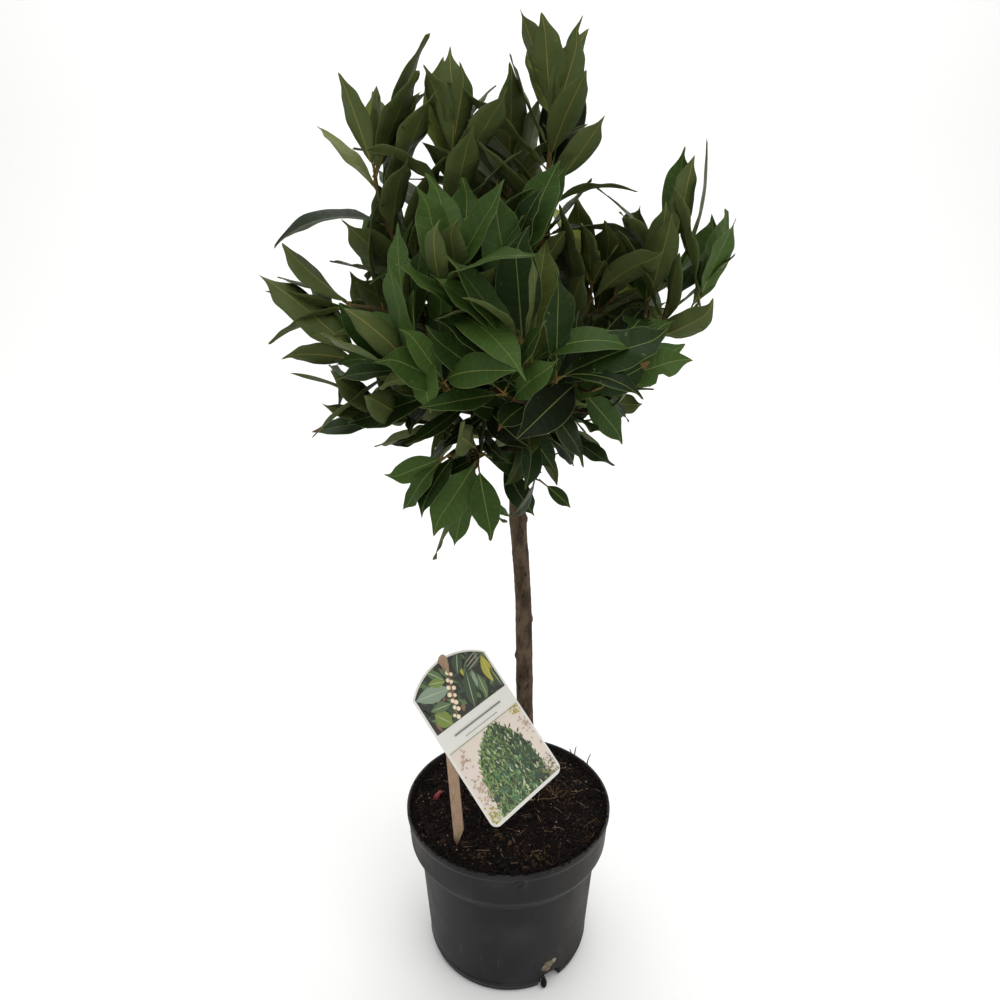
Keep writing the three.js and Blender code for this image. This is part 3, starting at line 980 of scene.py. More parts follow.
    def candidate(self, shoot: Shoot, share: float, angle: float, size: float, droop: float,
                  rng: np.random.Generator) -> LeafForm:
        """One way in which a leaf could sit on a shoot.

        Args:
            shoot: the shoot.
            share: where along it the leaf stands.
            angle: its bearing round the shoot.
            size: its length.
            droop: how far the leaves hang, from 0 to 1.
            rng: random numbers.

        Returns:
            The leaf.
        """
        place = share * (len(shoot.path) - 1)
        low = min(int(place), len(shoot.path) - 2)
        tangent, side, upper = (a[low] for a in frames_along(shoot.path))
        stand = shoot.path[low] + (shoot.path[low + 1] - shoot.path[low]) * (place - low)
        outward = math.cos(angle) * side + math.sin(angle) * upper
        spread = self.low_divergence + (self.top_divergence - self.low_divergence) * share**0.8
        spread += rng.normal(0, 0.15)
        along = math.sin(spread) * outward + math.cos(spread) * tangent
        along = unit(along + UP * (0.08 - 0.45 * droop) - UP * 0.25 * (1 - share) * (1 - abs(along[2])))
        facing = unit(tangent - (tangent @ along) * along) + 0.55 * UP + 0.45 * unit(stand - self.centre)
        facing = facing + rng.normal(0, 0.18, 3)
        facing = unit(facing - (facing @ along) * along)
        base = stand + self.petiole * unit(along + 0.5 * tangent)
        slim = rng.uniform(*self.slimness) * (1.25 - 0.25 * size / self.leaf_length[0])
        curl = rng.normal(-0.2 - 0.4 * (1 - share), 0.35)
        return LeafForm(base, along, facing, size, size * slim, curl, rng.uniform(0.10, 0.42),
                        rng.uniform(0.02, 0.11), rng.normal(0, 0.22), rng.uniform(0, TAU),
                        rng.uniform(0.44, 0.55), rng.uniform(0.3, 0.8), rng.normal(0, 0.8))

    def score(self, leaf: LeafForm, allowance: float) -> float:
        """How well a leaf fits: clear of the leaves before it, crossing few, and within the crown's solids.

        Args:
            leaf: the leaf to judge.
            allowance: how far it may stand outside the solids.

        Returns:
            Its score; above a limit it may be kept.
        """
        spots = leaf.midrib(np.linspace(0.3, 1.0, 6))
        low, high = self.limits
        room = self.margin * np.array([1, 1, -0.3])
        if (spots < low - self.margin).any() or (spots > high + room).any():
            return 0.0
        beyond = self.outside(spots) - np.linspace(2, 9, 6) * MM - allowance
        stick_out = np.maximum(beyond, 0).max() / (10 * MM)
        near = [net for base, net in self.nets if np.linalg.norm(base - leaf.base) < self.neighbourhood]
        own = leaf_net(leaf)
        crossings = sum(min(len(own.overlap(net)), 3) for net in near)
        clear = 1.0
        if self.taken:
            others = np.concatenate(self.taken)
            nearest = np.linalg.norm(spots[:, None] - others[None], axis=-1).min(1)
            clear = float(np.minimum(nearest / self.wanted_clearance, 1).mean())
        size = 0.3 * leaf.length / self.leaf_length[1]
        return 0.45 + clear + size - stick_out - self.crossing_cost * crossings

    def grow_leaves(self, mass: Mass, shoot: Shoot, rng: np.random.Generator) -> list[LeafForm]:
        """Sets leaves up a shoot at even steps and golden turns, each the best of several tries.

        Args:
            mass: the shoot's mass.
            shoot: the shoot.
            rng: the mass's own random numbers.

        Returns:
            The leaves.
        """
        if mass.short and shoot.kind is not ShootKind.MAIN:
            return []
        length = np.linalg.norm(np.diff(shoot.path, axis=0), axis=1).sum()
        internode = self.low_internode + (self.top_internode - self.low_internode) * self.rise(mass)
        count = max(int(length / internode), 2)
        top = {ShootKind.MAIN: 6, ShootKind.SIDE: 3, ShootKind.INNER: 0}[shoot.kind]
        shares = np.concatenate([np.linspace(0.04, 0.90, count), np.linspace(0.92, 1.0, top)])
        shares = np.array([0.3, 1.0]) if mass.short else shares
        droop = float(np.clip(-mass.heading[2] * 1.5, 0, 1)) if shoot.kind is ShootKind.MAIN else 0.35
        small = min(1.0, (np.linalg.norm(mass.tip - mass.foot) + mass.girth) / (90 * MM))
        inner = shoot.kind is ShootKind.INNER
        allowance = self.inner_allowance if inner else self.top_allowance * self.rise(mass)
        first = rng.uniform(0, TAU)
        usual_sizes = {
            ShootKind.MAIN: self.leaf_length, ShootKind.SIDE: self.side_leaf_length,
            ShootKind.INNER: self.inner_leaf_length,
        }[shoot.kind]
        kept = []
        for index, share in enumerate(shares):
            sizes = self.top_leaf_length if share > 0.92 and not inner else usual_sizes
            tries = []
            for step in range(self.tries):
                size = rng.uniform(*sizes) * small * (1 - 0.03 * step)
                size *= 0.5 if mass.name == self.young_mass and share > 0.9 else 1.0
                angle = first + index * GOLDEN_ANGLE + rng.normal(0, 0.12 + 0.06 * step)
                leaf = self.candidate(shoot, share, angle, size, droop, rng)
                tries.append((self.score(leaf, allowance), step, leaf))
            value, _, best = max(tries, key=lambda row: row[:2])
            if value < self.least_score:
                continue
            self.taken.append(best.midrib(np.linspace(0.2, 1.0, 7)))
            self.nets.append((best.base, leaf_net(best)))
            kept.append(self.coloured_and_shaded(mass, shoot, best, share, rng))
        return kept

    def coloured_and_shaded(
        self, mass: Mass, shoot: Shoot, leaf: LeafForm, share: float, rng: np.random.Generator
    ) -> LeafForm:
        """Deals out a leaf's green: darker low and inside as painted shade, lighter and more often olive
        higher up as painted light, lighter at the ends of shoots, lime if young.
        """
        height = (leaf.base[2] - self.centre[2]) / (100 * MM)
        # Painted light and shade: higher leaves take lighter greens and turn olive more often. The olive is
        # partly the upper leaves' own colour.
        olive = rng.uniform() < np.clip(0.9 * (height - 0.5), 0.04, 0.85)
        tone = 1.5 + 0.5 * height + 2.7 * share + rng.normal(0, 1.5)
        # Painted shade: leaves on the bough's inner part stay among the darkest greens.
        tone = min(tone, 1.6) if shoot.kind is ShootKind.INNER else tone
        tone = int(np.clip(round(tone), 0, TONES - 3))
        tone += TONES * olive
        if mass.name == self.young_mass and share > 0.8:
            tone = 2 * TONES - 1
        bite = rng.uniform(0.25, 0.6) if rng.uniform() < self.bitten_share else 0.0
        return replace(leaf, tone=tone, bite=bite, scorched=bool(rng.uniform() < self.scorched_share))

    def grow(self) -> None:
        """Grows every mass, from its own seed."""
        for number, mass in enumerate(self.masses):
            rng = np.random.default_rng([self.seed, number])
            self.shoots[mass.name] = self.plan_shoots(mass, rng)
            self.leaves[mass.name] = []
            for shoot in self.shoots[mass.name]:
                self.leaves[mass.name] += self.grow_leaves(mass, shoot, rng)
        for number, mass in enumerate(self.masses):
            rng = np.random.default_rng([self.seed, number, 1])
            bough = bend(mass.root, (mass.root + mass.foot) / 2 - UP * 4 * MM, mass.foot, 9)
            inner = Shoot(bough[1:], (2.4 * MM, 2.0 * MM), ShootKind.INNER)
            self.leaves[mass.name] += self.grow_leaves(mass, inner, rng)

    def petiole_tube(self, leaf: LeafForm) -> Surface:
        """The short stalk from the shoot to the blade."""
        path = bend(leaf.base - leaf.along * self.petiole * 1.15, leaf.base - leaf.along * self.petiole * 0.4,
                    leaf.base + leaf.along * 2 * MM, 4)
        return tube(path, np.linspace(0.95, 0.6, 4) * MM, 6, finish=LeafPart.PETIOLE)

    def build_leaves(self, finishes: list[bpy.types.Material]) -> None:
        """Makes one piece of leaves for each mass, which stands in for that mass."""
        total = 0
        for name, leaves in self.leaves.items():
            heap = Heap()
            for leaf in leaves:
                heap.add(leaf_surface(leaf))
                heap.add(self.petiole_tube(leaf))
            piece = heap.piece(f"leaves_{name}", "leaf", finishes)
            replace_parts(piece, f"foliage_{name}")
            total += len(leaves)
        LOG.info("%d leaves in all", total)


@dataclass
class Wood:
    """The trunk, the boughs and the twigs, as bark surfaces round the frame's limbs."""

    trunk_rows: int = 420
    trunk_sides: int = 56
    bud_step: float = 31 * MM
    bough_sides: int = 14
    twig_sides: int = 8
    thin_bough: str = "droop_right"
    # Bare twigs under the crown: height, bearing in radians and reach.
    low_twigs: tuple[tuple[float, float, float], ...] = (
        (474 * MM, -0.2, 38 * MM), (480 * MM, 2.9, 30 * MM), (492 * MM, 0.9, 20 * MM),
    )

    def trunk_line(self) -> tuple[np.ndarray, np.ndarray]:
        """Middle line and radius of the trunk, from level cuts through the frame's trunk."""
        low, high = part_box("trunk")
        start, end = np.array([0, 0, low.z]), np.array([0, 0, high.z])
        middle, radius = slices("trunk", start, end, np.linspace(0.004, 0.996, 34))
        smooth = evenly(corner_cut(np.column_stack([middle, radius]), 3), self.trunk_rows)
        return smooth[:, :3], smooth[:, 3]

    def build_trunk(self, finish: bpy.types.Material) -> None:
        """The trunk with leaf scars, swollen buds, long low ridges and a fine roughness.

        Each bud is a bump exp(-(h/3.4mm)^2) on one side of the stem, over a low ring all round it.
        """
        path, radius = self.trunk_line()
        angle = np.linspace(0, TAU, self.trunk_sides, endpoint=False)[None]
        height = path[:, 2:3]
        ground = height.min()
        place = np.stack([np.broadcast_to(0.012 * np.cos(angle), (len(path), self.trunk_sides)),
                          np.broadcast_to(0.012 * np.sin(angle), (len(path), self.trunk_sides)),
                          np.broadcast_to(height * 0.35, (len(path), self.trunk_sides))], -1)
        relief = 0.30 * MM * ripples(place, 9 * MM, 3) + 0.14 * MM * ripples(place, 3.2 * MM, 4)
        relief = relief + 0.10 * MM * ripples(place * [1, 1, 5], 3 * MM, 5)
        rng = np.random.default_rng(8)
        buds = np.arange(ground + 22 * MM, height.max(), self.bud_step)
        for number, bud in enumerate(buds + rng.normal(0, 3 * MM, len(buds))):
            facing = np.maximum(np.cos(angle - number * GOLDEN_ANGLE), 0)
            shape = np.exp(-(((height - bud) / (3.4 * MM)) ** 2))
            scar = np.exp(-(((height - bud + 4 * MM) / (1.0 * MM)) ** 2))
            relief = relief + MM * shape * (0.25 + 1.1 * facing**3) - 0.35 * MM * scar * facing**2
        relief = relief + 0.9 * MM * smooth_step(ground + 16 * MM, ground, height) * np.cos(5 * angle + 1)
        heap = Heap([tube(path, radius, self.trunk_sides, relief)])
        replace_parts(heap.piece("trunk_bark", "bark", [finish]), "trunk")

    def limb_line(self, mass: Mass, shoot: Shoot, trunk: np.ndarray) -> np.ndarray:
        """Middle line of a bough from inside the trunk, through the frame's bough, and on up its shoot.

        Args:
            mass: the mass that the bough carries.
            shoot: the mass's main shoot.
            trunk: points of the trunk's middle line.

        Returns:
            Points of the line.
        """
        bough = node_points(f"bough_{mass.name}")
        root = bough[np.linalg.norm(bough[:, None] - trunk[None], axis=-1).min(1).argsort()[:6]].mean(0)
        middle, _ = slices(f"bough_{mass.name}", root, mass.foot, np.linspace(0.2, 0.85, 5))
        inside = trunk[np.linalg.norm(trunk - root, axis=1).argmin()]
        joined = np.concatenate([inside[None], middle, shoot.path[1:]])
        return evenly(corner_cut(joined, 2), 46)

    def build_boughs(self, crown: Crown, finish: bpy.types.Material) -> None:
        """One bark piece for each bough, with its main shoot, and one for all the side twigs."""
        trunk, _ = self.trunk_line()
        twigs = Heap()
        rng = np.random.default_rng(21)
        for mass in crown.masses:
            main, *others = crown.shoots[mass.name]
            path = self.limb_line(mass, main, trunk)
            share = np.linspace(0, 1, len(path))
            radius = np.interp(share, [0, 0.12, 0.5, 1], [4.2 * MM, 3.3 * MM, 2.3 * MM, 1.1 * MM])
            if mass.name == self.thin_bough:
                radius = radius * 0.6
            relief = 0.22 * MM * ripples(np.stack([path] * self.bough_sides, 1), 14 * MM, 6)
            knots = np.exp(-(((share[:, None] * 9.3) % 1 - 0.5) / 0.13) ** 2) * 0.35 * MM
            heap = Heap([tube(path, radius, self.bough_sides, relief + knots)])
            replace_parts(heap.piece(f"shoot_bark_{mass.name}", "shoot_bark", [finish]), f"bough_{mass.name}")
            for twig in others:
                thick = np.linspace(*twig.radii, len(twig.path))
                twigs.add(tube(twig.path, thick, self.twig_sides))
        for height, bearing, reach in self.low_twigs:
            foot = trunk[np.abs(trunk[:, 2] - height).argmin()]
            heading = np.array([math.cos(bearing), math.sin(bearing), 0.22])
            path = bend(foot, foot + heading * reach * 0.5 - UP * 3 * MM, foot + heading * reach, 9)
            path = path + rng.normal(0, 0.4 * MM, path.shape)
            twigs.add(tube(path, np.linspace(1.2, 0.55, 9) * MM, self.twig_sides))
        twigs.piece("side_twigs", "shoot_bark", [finish])


# ---------------------------------------------------------------------------------------------- pot


@dataclass
class Pot:
    """The nursery pot's shell, from the rings of the frame's pot, and what sticks to it."""

    columns: int = 300
    fillet: float = 2.4 * MM
    notch_width: float = 22 * MM
    notch_height: float = 14.4 * MM
    notch_depth: float = 13 * MM
    foot_inner: float = 66 * MM
    bead_height: float = 11.6 * MM
    mark_drop: float = 9.5 * MM
    mark_bearing: float = math.radians(-84.5)
    # The flake's lobes: bearing in degrees, height and half size in millimetres.
    flake_lobes: tuple[tuple[float, float, float], ...] = (
        (-64.6, 23.6, 3.9), (-61.0, 25.2, 4.6), (-58.2, 27.6, 3.4), (-62.4, 20.6, 3.2), (-63.2, 28.4, 3.0),
    )
    crumb_bearing: float = math.radians(-65.4)
    crumb_reach: float = 77 * MM

    def rings(self) -> tuple[np.ndarray, np.ndarray]:
        """Outer and inner outlines of the frame's pot, as radius and height, from the foot up to the rim."""
        points = node_points("pot")
        radius = np.hypot(points[:, 0], points[:, 1])
        levels = np.round(points[:, 2], 5)
        outer, inner = [], []
        for level in np.unique(levels):
            ring = radius[(levels == level) & (radius > 20 * MM)]
            if len(np.unique(np.round(ring, 4))) > 6 or len(ring) < 30:
                continue
            outer.append((ring.max(), level))
            inner.append((ring.min(), level))
        outer, inner = np.array(outer), np.array(inner)
        thick = outer[:, 0] - inner[:, 0]
        floor = (thick < 0.5 * MM) & (inner[:, 1] > 2.6 * MM) & (inner[:, 1] < 3.4 * MM)
        return outer[~floor], inner[(thick > 1.5 * MM) | floor]

    def filleted(self, outline: np.ndarray) -> np.ndarray:
        """Rounds an outline's corners: points go in just before and after each, and then it is cut."""
        legs = np.diff(outline, axis=0)
        length = np.linalg.norm(legs, axis=1, keepdims=True)
        step = np.minimum(self.fillet, length * 0.35) * legs / length
        near, far = outline[:-1] + step, outline[1:] - step
        path = np.stack([outline[:-1], near, far], 1).reshape(-1, 2)
        return corner_cut(np.concatenate([path, outline[-1:]]), 2)

    def notch_angles(self) -> np.ndarray:
        """Bearings of the drain notches, from the corners that they leave in the frame's pot."""
        points = node_points("pot")
        low = points[(points[:, 2] > 10 * MM) & (points[:, 2] < 15.5 * MM)]
        bearing = np.sort(np.arctan2(low[:, 1], low[:, 0]))
        groups = np.split(bearing, np.flatnonzero(np.diff(bearing) > 0.8) + 1)
        if len(groups) > 1 and bearing[0] + TAU - bearing[-1] < 0.8:
            groups[0] = np.concatenate([groups.pop() - TAU, groups[0]])
        return np.array([(group.min() + group.max()) / 2 for group in groups])

    def build_shell(self, finish: bpy.types.Material) -> None:
        """The pot's shell, with a recess pressed in at each notch, a fine bead low down and a gate mark from
        the mould.
        """
        outer, inner = self.rings()
        outline = np.concatenate([outer, inner[::-1]])
        outline = np.concatenate([[[0.012, outer[0, 1]]], outline, [[0.012, inner[0, 1]]]])
        profile = self.filleted(outline)
        top = profile[:, 1].argmax()
        wall = profile[:top]
        dense = np.linspace(0.2 * MM, self.notch_height + 2.5 * MM, 30)
        radius_at = np.interp(dense, wall[:, 1], wall[:, 0])
        number = np.arange(len(profile))
        under = (number < top) & (profile[:, 0] < self.foot_inner)
        kept = (profile[:, 1] > dense[-1]) | (number > top) | (profile[:, 0] < self.foot_inner)
        before, after = profile[kept & under], profile[kept & ~under]
        foot = np.column_stack([radius_at, dense])
        profile = np.concatenate([before, foot[np.argsort(foot[:, 1])], after])
        shell = turned(profile, self.columns)
        outside = len(before) + len(foot)
        shell[:outside] = self.notched(shell[:outside])
        centre_low, centre_high = np.array([0, 0, profile[0, 1]]), np.array([0, 0, profile[-1, 1]])
        heap = Heap([capped(shell, centre_low, centre_high)])
        heap.add(self.mould_mark())
        heap.add(self.foot_bead())
        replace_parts(heap.piece("pot_shell", "black_plastic", [finish]), "pot")

    def notched(self, grid: np.ndarray) -> np.ndarray:
        """Presses a turned grid's points in at each drain notch, under its arch."""
        angle = np.arctan2(grid[..., 1], grid[..., 0])
        radius = np.hypot(grid[..., 0], grid[..., 1])
        press = np.zeros_like(radius)
        for bearing in self.notch_angles():
            off = np.abs((angle - bearing + math.pi) % TAU - math.pi) * radius
            arch = self.notch_height * np.sqrt(np.clip(1 - (off / (self.notch_width / 2)) ** 4, 0, 1))
            within = smooth_step(0.4 * MM, -0.4 * MM, off - self.notch_width / 2)
            below = smooth_step(0.5 * MM, -0.5 * MM, grid[..., 2] - arch)
            press = np.maximum(press, within * below * (radius > 60 * MM))
        scale = 1 - press * self.notch_depth / np.maximum(radius, 1 * MM)
        return np.concatenate([grid[..., :2] * scale[..., None], grid[..., 2:]], -1)

    def mould_mark(self) -> Surface:
        """The small round gate mark on the collar's front, a dished button of radius 4 mm."""
        outer, _ = self.rings()
        height = outer[-1, 1] - self.mark_drop
        radius = np.interp(height, outer[:, 1], outer[:, 0])
        out = np.array([math.cos(self.mark_bearing), math.sin(self.mark_bearing), -0.08])
        centre = np.array([radius * out[0], radius * out[1], height])
        path = centre + np.array([-1.0, 0.45, 0.8, 0.75, 0.2, 0.15])[:, None] * MM * out
        _, side, upper = (axis[0] for axis in frames_along(path[[0, 2]]))
        angle = np.linspace(0, TAU, 28, endpoint=False)[:, None]
        round_ring = side * np.cos(angle) + upper * np.sin(angle)
        reach = np.array([4.2, 4.1, 3.6, 3.0, 2.6, 0.6])[:, None, None] * MM
        return capped(path[:, None] + reach * round_ring, path[0], path[-1])

    def foot_bead(self) -> Surface:
        """A fine raised ring just above the rounded foot, where the two halves of the mould met."""
        outer, _ = self.rings()
        radius = np.interp(self.bead_height, outer[:, 1], outer[:, 0]) - 0.1 * MM
        around = np.linspace(0, TAU, 9)
        level = self.bead_height + 0.6 * MM * np.sin(around)
        ring = np.stack([radius + 0.45 * MM * np.cos(around), level], -1)
        grid = self.notched(turned(ring, self.columns))
        faces = grid_faces(len(ring), self.columns, True)[:, ::-1]
        return Surface(grid.reshape(-1, 3), faces, np.zeros(len(faces), int))

    def build_crumbs(self, finishes: list[bpy.types.Material]) -> None:
        """A pale flake of dried compost above a notch, and a dark crumb that hangs in the notch.

        Args:
            finishes: finish of the flake, then of the crumb.
        """
        outer, _ = self.rings()
        heap = Heap()
        rng = np.random.default_rng(4)
        for bearing, height, half in self.flake_lobes:
            out = np.array([math.cos(math.radians(bearing)), math.sin(math.radians(bearing)), -0.07])
            radius = np.interp(height * MM, outer[:, 1], outer[:, 0])
            centre = np.array([radius * out[0], radius * out[1], height * MM])
            flake = lumps(centre[None], np.full((1, 3), half * MM), rng)
            away = (flake.points - centre) @ out
            flake.points -= (0.82 * away)[:, None] * out
            heap.add(flake)
        towards = np.array([math.cos(self.crumb_bearing), math.sin(self.crumb_bearing), 0.0])
        foot = self.crumb_reach * towards + 0.9 * MM * UP
        path = bend(foot + [0, 1.5 * MM, 12.5 * MM], foot + [0, 0, 6 * MM], foot, 9)
        heap.add(tube(path, np.array([0.3, 1.0, 1.9, 2.5, 2.8, 2.9, 2.6, 1.9, 0.7]) * MM, 10, finish=1))
        heap.piece("stuck_crumbs", "compost", finishes)


class Loose(IntEnum):
    """Finish numbers of what lies on the compost."""

    DARK_CRUMB = 0
    BROWN_CRUMB = 1
    BARK_CHIP = 2
    PALE_CHIP = 3
    FIBRE = 4
    RED_SCRAP = 5
    MOSS = 6
    PALE_FIBRE = 7


@dataclass
class Compost:
    """The compost's uneven top, and the crumbs, fibres and chips that lie on it."""

    rows: int = 64
    columns: int = 200
    seed: int = 5
    foot_radius: float = 60 * MM
    foot_height: float = 17 * MM
    # How many crumbs of a kind, and their usual half size in millimetres.
    crumb_kinds: tuple[tuple[int, float, Loose], ...] = (
        (2800, 1.25, Loose.DARK_CRUMB), (1300, 0.95, Loose.BROWN_CRUMB), (12, 1.5, Loose.BARK_CHIP),
        (480, 0.40, Loose.PALE_CHIP),
    )
    # Patches of moss: X and Y of the middle in millimetres, and how many crumbs.
    moss_patches: tuple[tuple[float, float, int], ...] = (
        (25, -72, 34), (-26, -68, 30), (-7, -46, 18), (75, -27, 26), (46, 12, 30),
    )
    # Root ends that stand at the rim: X, Y, height and lean in millimetres.
    root_ends: tuple[tuple[float, float, float, float], ...] = (
        (69, 70, 10, 1.5), (80, 55, 13, 3.5), (66, 74, 5, -2), (84, 24, 6, 2),
    )
    fibre_count: int = 420
    matted_count: int = 130
    matted_place: tuple[float, float] = (44 * MM, 10 * MM)
    scrap_place: tuple[float, float] = (-66 * MM, 7 * MM)
    rim_crumb_count: int = 420

    def surface_height(self, x: np.ndarray, y: np.ndarray) -> np.ndarray:
        """Height of the compost: level, with ripples at three sizes, and a low mound beside the trunk."""
        _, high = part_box("compost")
        place = np.stack([x, y, np.zeros_like(x)], -1)
        rough = 1.5 * MM * ripples(place, 42 * MM, 31) + 1.0 * MM * ripples(place, 15 * MM, 32)
        rough = rough + 0.7 * MM * ripples(place, 6 * MM, 33)
        trunk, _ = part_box("trunk")
        foot = node_points("trunk")
        foot = foot[foot[:, 2] < trunk.z + 2 * MM].mean(0)
        off = np.hypot(x - foot[0] - 22 * MM, y - foot[1] + 8 * MM)
        mound = 3.5 * MM * np.exp(-((off / (17 * MM)) ** 2))
        tilt = 1.5 * MM * y / (90 * MM)
        edge = 1.5 * MM * smooth_step(74 * MM, 88 * MM, np.hypot(x, y))
        return high.z + rough * 0.8 + mound - edge - tilt + 1.2 * MM

    def build(self, peat: bpy.types.Material, crumb_finishes: list[bpy.types.Material]) -> None:
        """The compost body, narrow at its foot behind the drain notches, then all that lies on its top.

        Args:
            peat: finish of the body.
            crumb_finishes: finishes of what lies on it, by Loose number.
        """
        low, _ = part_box("compost")
        points = node_points("compost")
        radii = np.hypot(points[:, 0], points[:, 1])
        wall = radii.max()
        levels = np.unique(np.round(points[:, 2], 4))[:-1]
        rings = [[radii[np.abs(points[:, 2] - level) < 0.1 * MM].max(), level] for level in levels]
        reach, level = self.foot_radius, self.foot_height
        foot = np.array([[0.02, low.z], [reach, low.z], [reach, level], [rings[0][0], level + 1 * MM]])
        body = turned(np.concatenate([foot, rings[1:]]), self.columns)
        share = np.linspace(1, 0.01, self.rows)[:, None]
        angle = np.linspace(0, TAU, self.columns, endpoint=False)
        x, y = wall * share * np.cos(angle), wall * share * np.sin(angle)
        top = np.stack([x, y, self.surface_height(x, y)], -1)
        grid = np.concatenate([body, top])
        centre = np.array([0, 0, float(self.surface_height(np.zeros(1), np.zeros(1))[0])])
        surface = Heap([capped(grid, np.array([0, 0, low.z]), centre)])
        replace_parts(surface.piece("compost_body", "compost", [peat]), "compost")
        rng = np.random.default_rng(self.seed)
        self.scatter(rng, wall, crumb_finishes)

    def spots(self, rng: np.random.Generator, count: int, reach: float) -> np.ndarray:
        """Places on the compost, evenly spread over its disc."""
        radius = reach * np.sqrt(rng.uniform(0, 1, count))
        angle = rng.uniform(0, TAU, count)
        x, y = radius * np.cos(angle), radius * np.sin(angle)
        return np.stack([x, y, self.surface_height(x, y)], -1)

    def scatter(self, rng: np.random.Generator, wall: float, finishes: list[bpy.types.Material]) -> None:
        """Crumbs, chips and fibres on the compost.

        Args:
            rng: random numbers.
            wall: radius of the compost.
            finishes: materials by Loose number.
        """
        crumbs = Heap()
        for count, size, finish in self.crumb_kinds:
            centres = self.spots(rng, count, wall - 1 * MM)
            sizes = size * MM * rng.lognormal(0, 0.4, (count, 1)) * rng.uniform(0.45, 1.3, (count, 3))
            crumbs.add(lumps(centres, np.minimum(sizes, 3.5 * MM), rng, finish))
        crumbs.add(self.rim_crumbs(rng, wall))
        for x, y, count in self.moss_patches:
            across = x * MM + rng.normal(0, 6 * MM, count)
            spread = self.laid(across, y * MM + rng.normal(0, 4.5 * MM, count))
            spread = spread[np.hypot(spread[:, 0], spread[:, 1]) < wall - 2 * MM]
            sizes = MM * rng.uniform(0.5, 1.3, (len(spread), 3))
            crumbs.add(lumps(spread + 0.5 * MM * UP, sizes, rng, Loose.MOSS))
        crumbs.piece("compost_crumbs", "compost", finishes, smooth=False)
        self.scatter_fibres(rng, wall).piece("compost_fibres", "compost", finishes)
        self.red_scrap().piece("red_scrap", "compost", finishes)

    def scatter_fibres(self, rng: np.random.Generator, wall: float) -> Heap:
        """Loose root fibres all over, a mat of them beside the trunk, and root ends that stand at the rim."""
        fibres = Heap()
        for number, place in enumerate(self.spots(rng, self.fibre_count, wall - 3 * MM)):
            finish = Loose.FIBRE if number % 5 else Loose.PALE_FIBRE
            fibres.add(self.fibre(place, rng, rng.uniform(4, 12) * MM, 0.25, finish))
        x, y = self.matted_place
        across = x + rng.normal(0, 11 * MM, self.matted_count)
        for number, place in enumerate(self.laid(across, y + rng.normal(0, 8 * MM, self.matted_count))):
            finish = Loose.FIBRE if number % 3 else Loose.PALE_FIBRE
            fibres.add(self.fibre(place, rng, rng.uniform(4, 12) * MM, 0.3, finish))
        for x, y, rise, lean in self.root_ends:
            foot = self.laid(np.array([x * MM]), np.array([y * MM]))[0]
            top = foot + np.array([lean, 1, rise]) * MM
            path = bend(foot - 2 * MM * UP, foot + 0.6 * rise * MM * UP, top, 7)
            fibres.add(tube(path, np.linspace(0.75, 0.4, 7) * MM, 5, finish=Loose.DARK_CRUMB))
        return fibres

    def red_scrap(self) -> Heap:
        """A scrap of red plastic: two short spindles that cross."""
        scrap = Heap()
        thick = np.array([0.3, 1.2, 1.9, 2.1, 2.1, 1.8, 1.3, 0.8, 0.3]) * MM
        x, y = self.scrap_place
        start = self.laid(np.array([x]), np.array([y]))[0] + 1.4 * MM * UP
        for turn in (0.75, 1.3):
            heading = np.array([math.cos(turn), math.sin(turn), 0.1])
            ends = start - heading * 6.5 * MM, start + heading * 7 * MM
            path = bend(ends[0], start + 2.2 * MM * UP, ends[1], len(thick))
            scrap.add(tube(path, thick, 7, finish=Loose.RED_SCRAP))
        return scrap

    def laid(self, x: np.ndarray, y: np.ndarray) -> np.ndarray:
        """Points on the compost's surface at the given places."""
        return np.stack([x, y, self.surface_height(x, y)], -1)

    def rim_crumbs(self, rng: np.random.Generator, wall: float) -> Surface:
        """Crumbs along the rim, which spill onto it at the front."""
        count = self.rim_crumb_count
        bearing = -math.pi / 2 + rng.normal(0, 0.9, count)
        reach = wall + rng.uniform(-3.0, 2.8, count) * MM
        centres = self.laid(reach * np.cos(bearing), reach * np.sin(bearing))
        _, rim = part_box("pot")
        centres[:, 2] = np.maximum(centres[:, 2], rim.z - 0.3 * MM)
        return lumps(centres, MM * rng.uniform(0.5, 1.6, (count, 3)), rng, Loose.DARK_CRUMB)

    def fibre(
        self, place: np.ndarray, rng: np.random.Generator, length: float, rise: float, finish: int
    ) -> Surface:
        """One bent root fibre that lies on the compost."""
        bearing = rng.uniform(0, TAU)
        heading = np.array([math.cos(bearing), math.sin(bearing), 0.0])
        sideways = np.array([-heading[1], heading[0], 0.0]) * rng.normal(0, 0.3)
        middle = place + (heading + sideways) * length * 0.5 + UP * length * rise * rng.uniform(0, 0.8)
        end = place + heading * length + UP * length * rise * rng.uniform(-0.3, 0.5)
        thick = rng.uniform(0.15, 0.36) * MM
        return tube(bend(place + 0.6 * MM * UP, middle, end, 6), np.full(6, thick), 4, finish=finish)


# ---------------------------------------------------------------------------------------------- label


class Ink(IntEnum):
    """Finish numbers of the label's print."""

    DARK = 0
    DEEP_GREEN = 1
    GREEN = 2
    LIGHT_GREEN = 3
    YELLOW_GREEN = 4
    YELLOW = 5
    PALE_GREEN = 6
    GREY_GREEN = 7
    TEAL = 8
    CREAM = 9
    BROWN = 10
    BLUSH = 11
    STONE = 12
    GREY = 13
    CLAY = 14


INK_COLOURS = {
    Ink.DARK: "#2b2a22", Ink.DEEP_GREEN: "#3a4a33", Ink.GREEN: "#586f45", Ink.LIGHT_GREEN: "#7d9657",
    Ink.YELLOW_GREEN: "#73863a", Ink.YELLOW: "#a9a136", Ink.PALE_GREEN: "#b4bf98", Ink.GREY_GREEN: "#83957f",
    Ink.TEAL: "#4e7a5b", Ink.CREAM: "#ead9b6", Ink.BROWN: "#80604a", Ink.BLUSH: "#dccfc3",
    Ink.STONE: "#8e8875", Ink.GREY: "#7b7c7a", Ink.CLAY: "#b59d86",
}


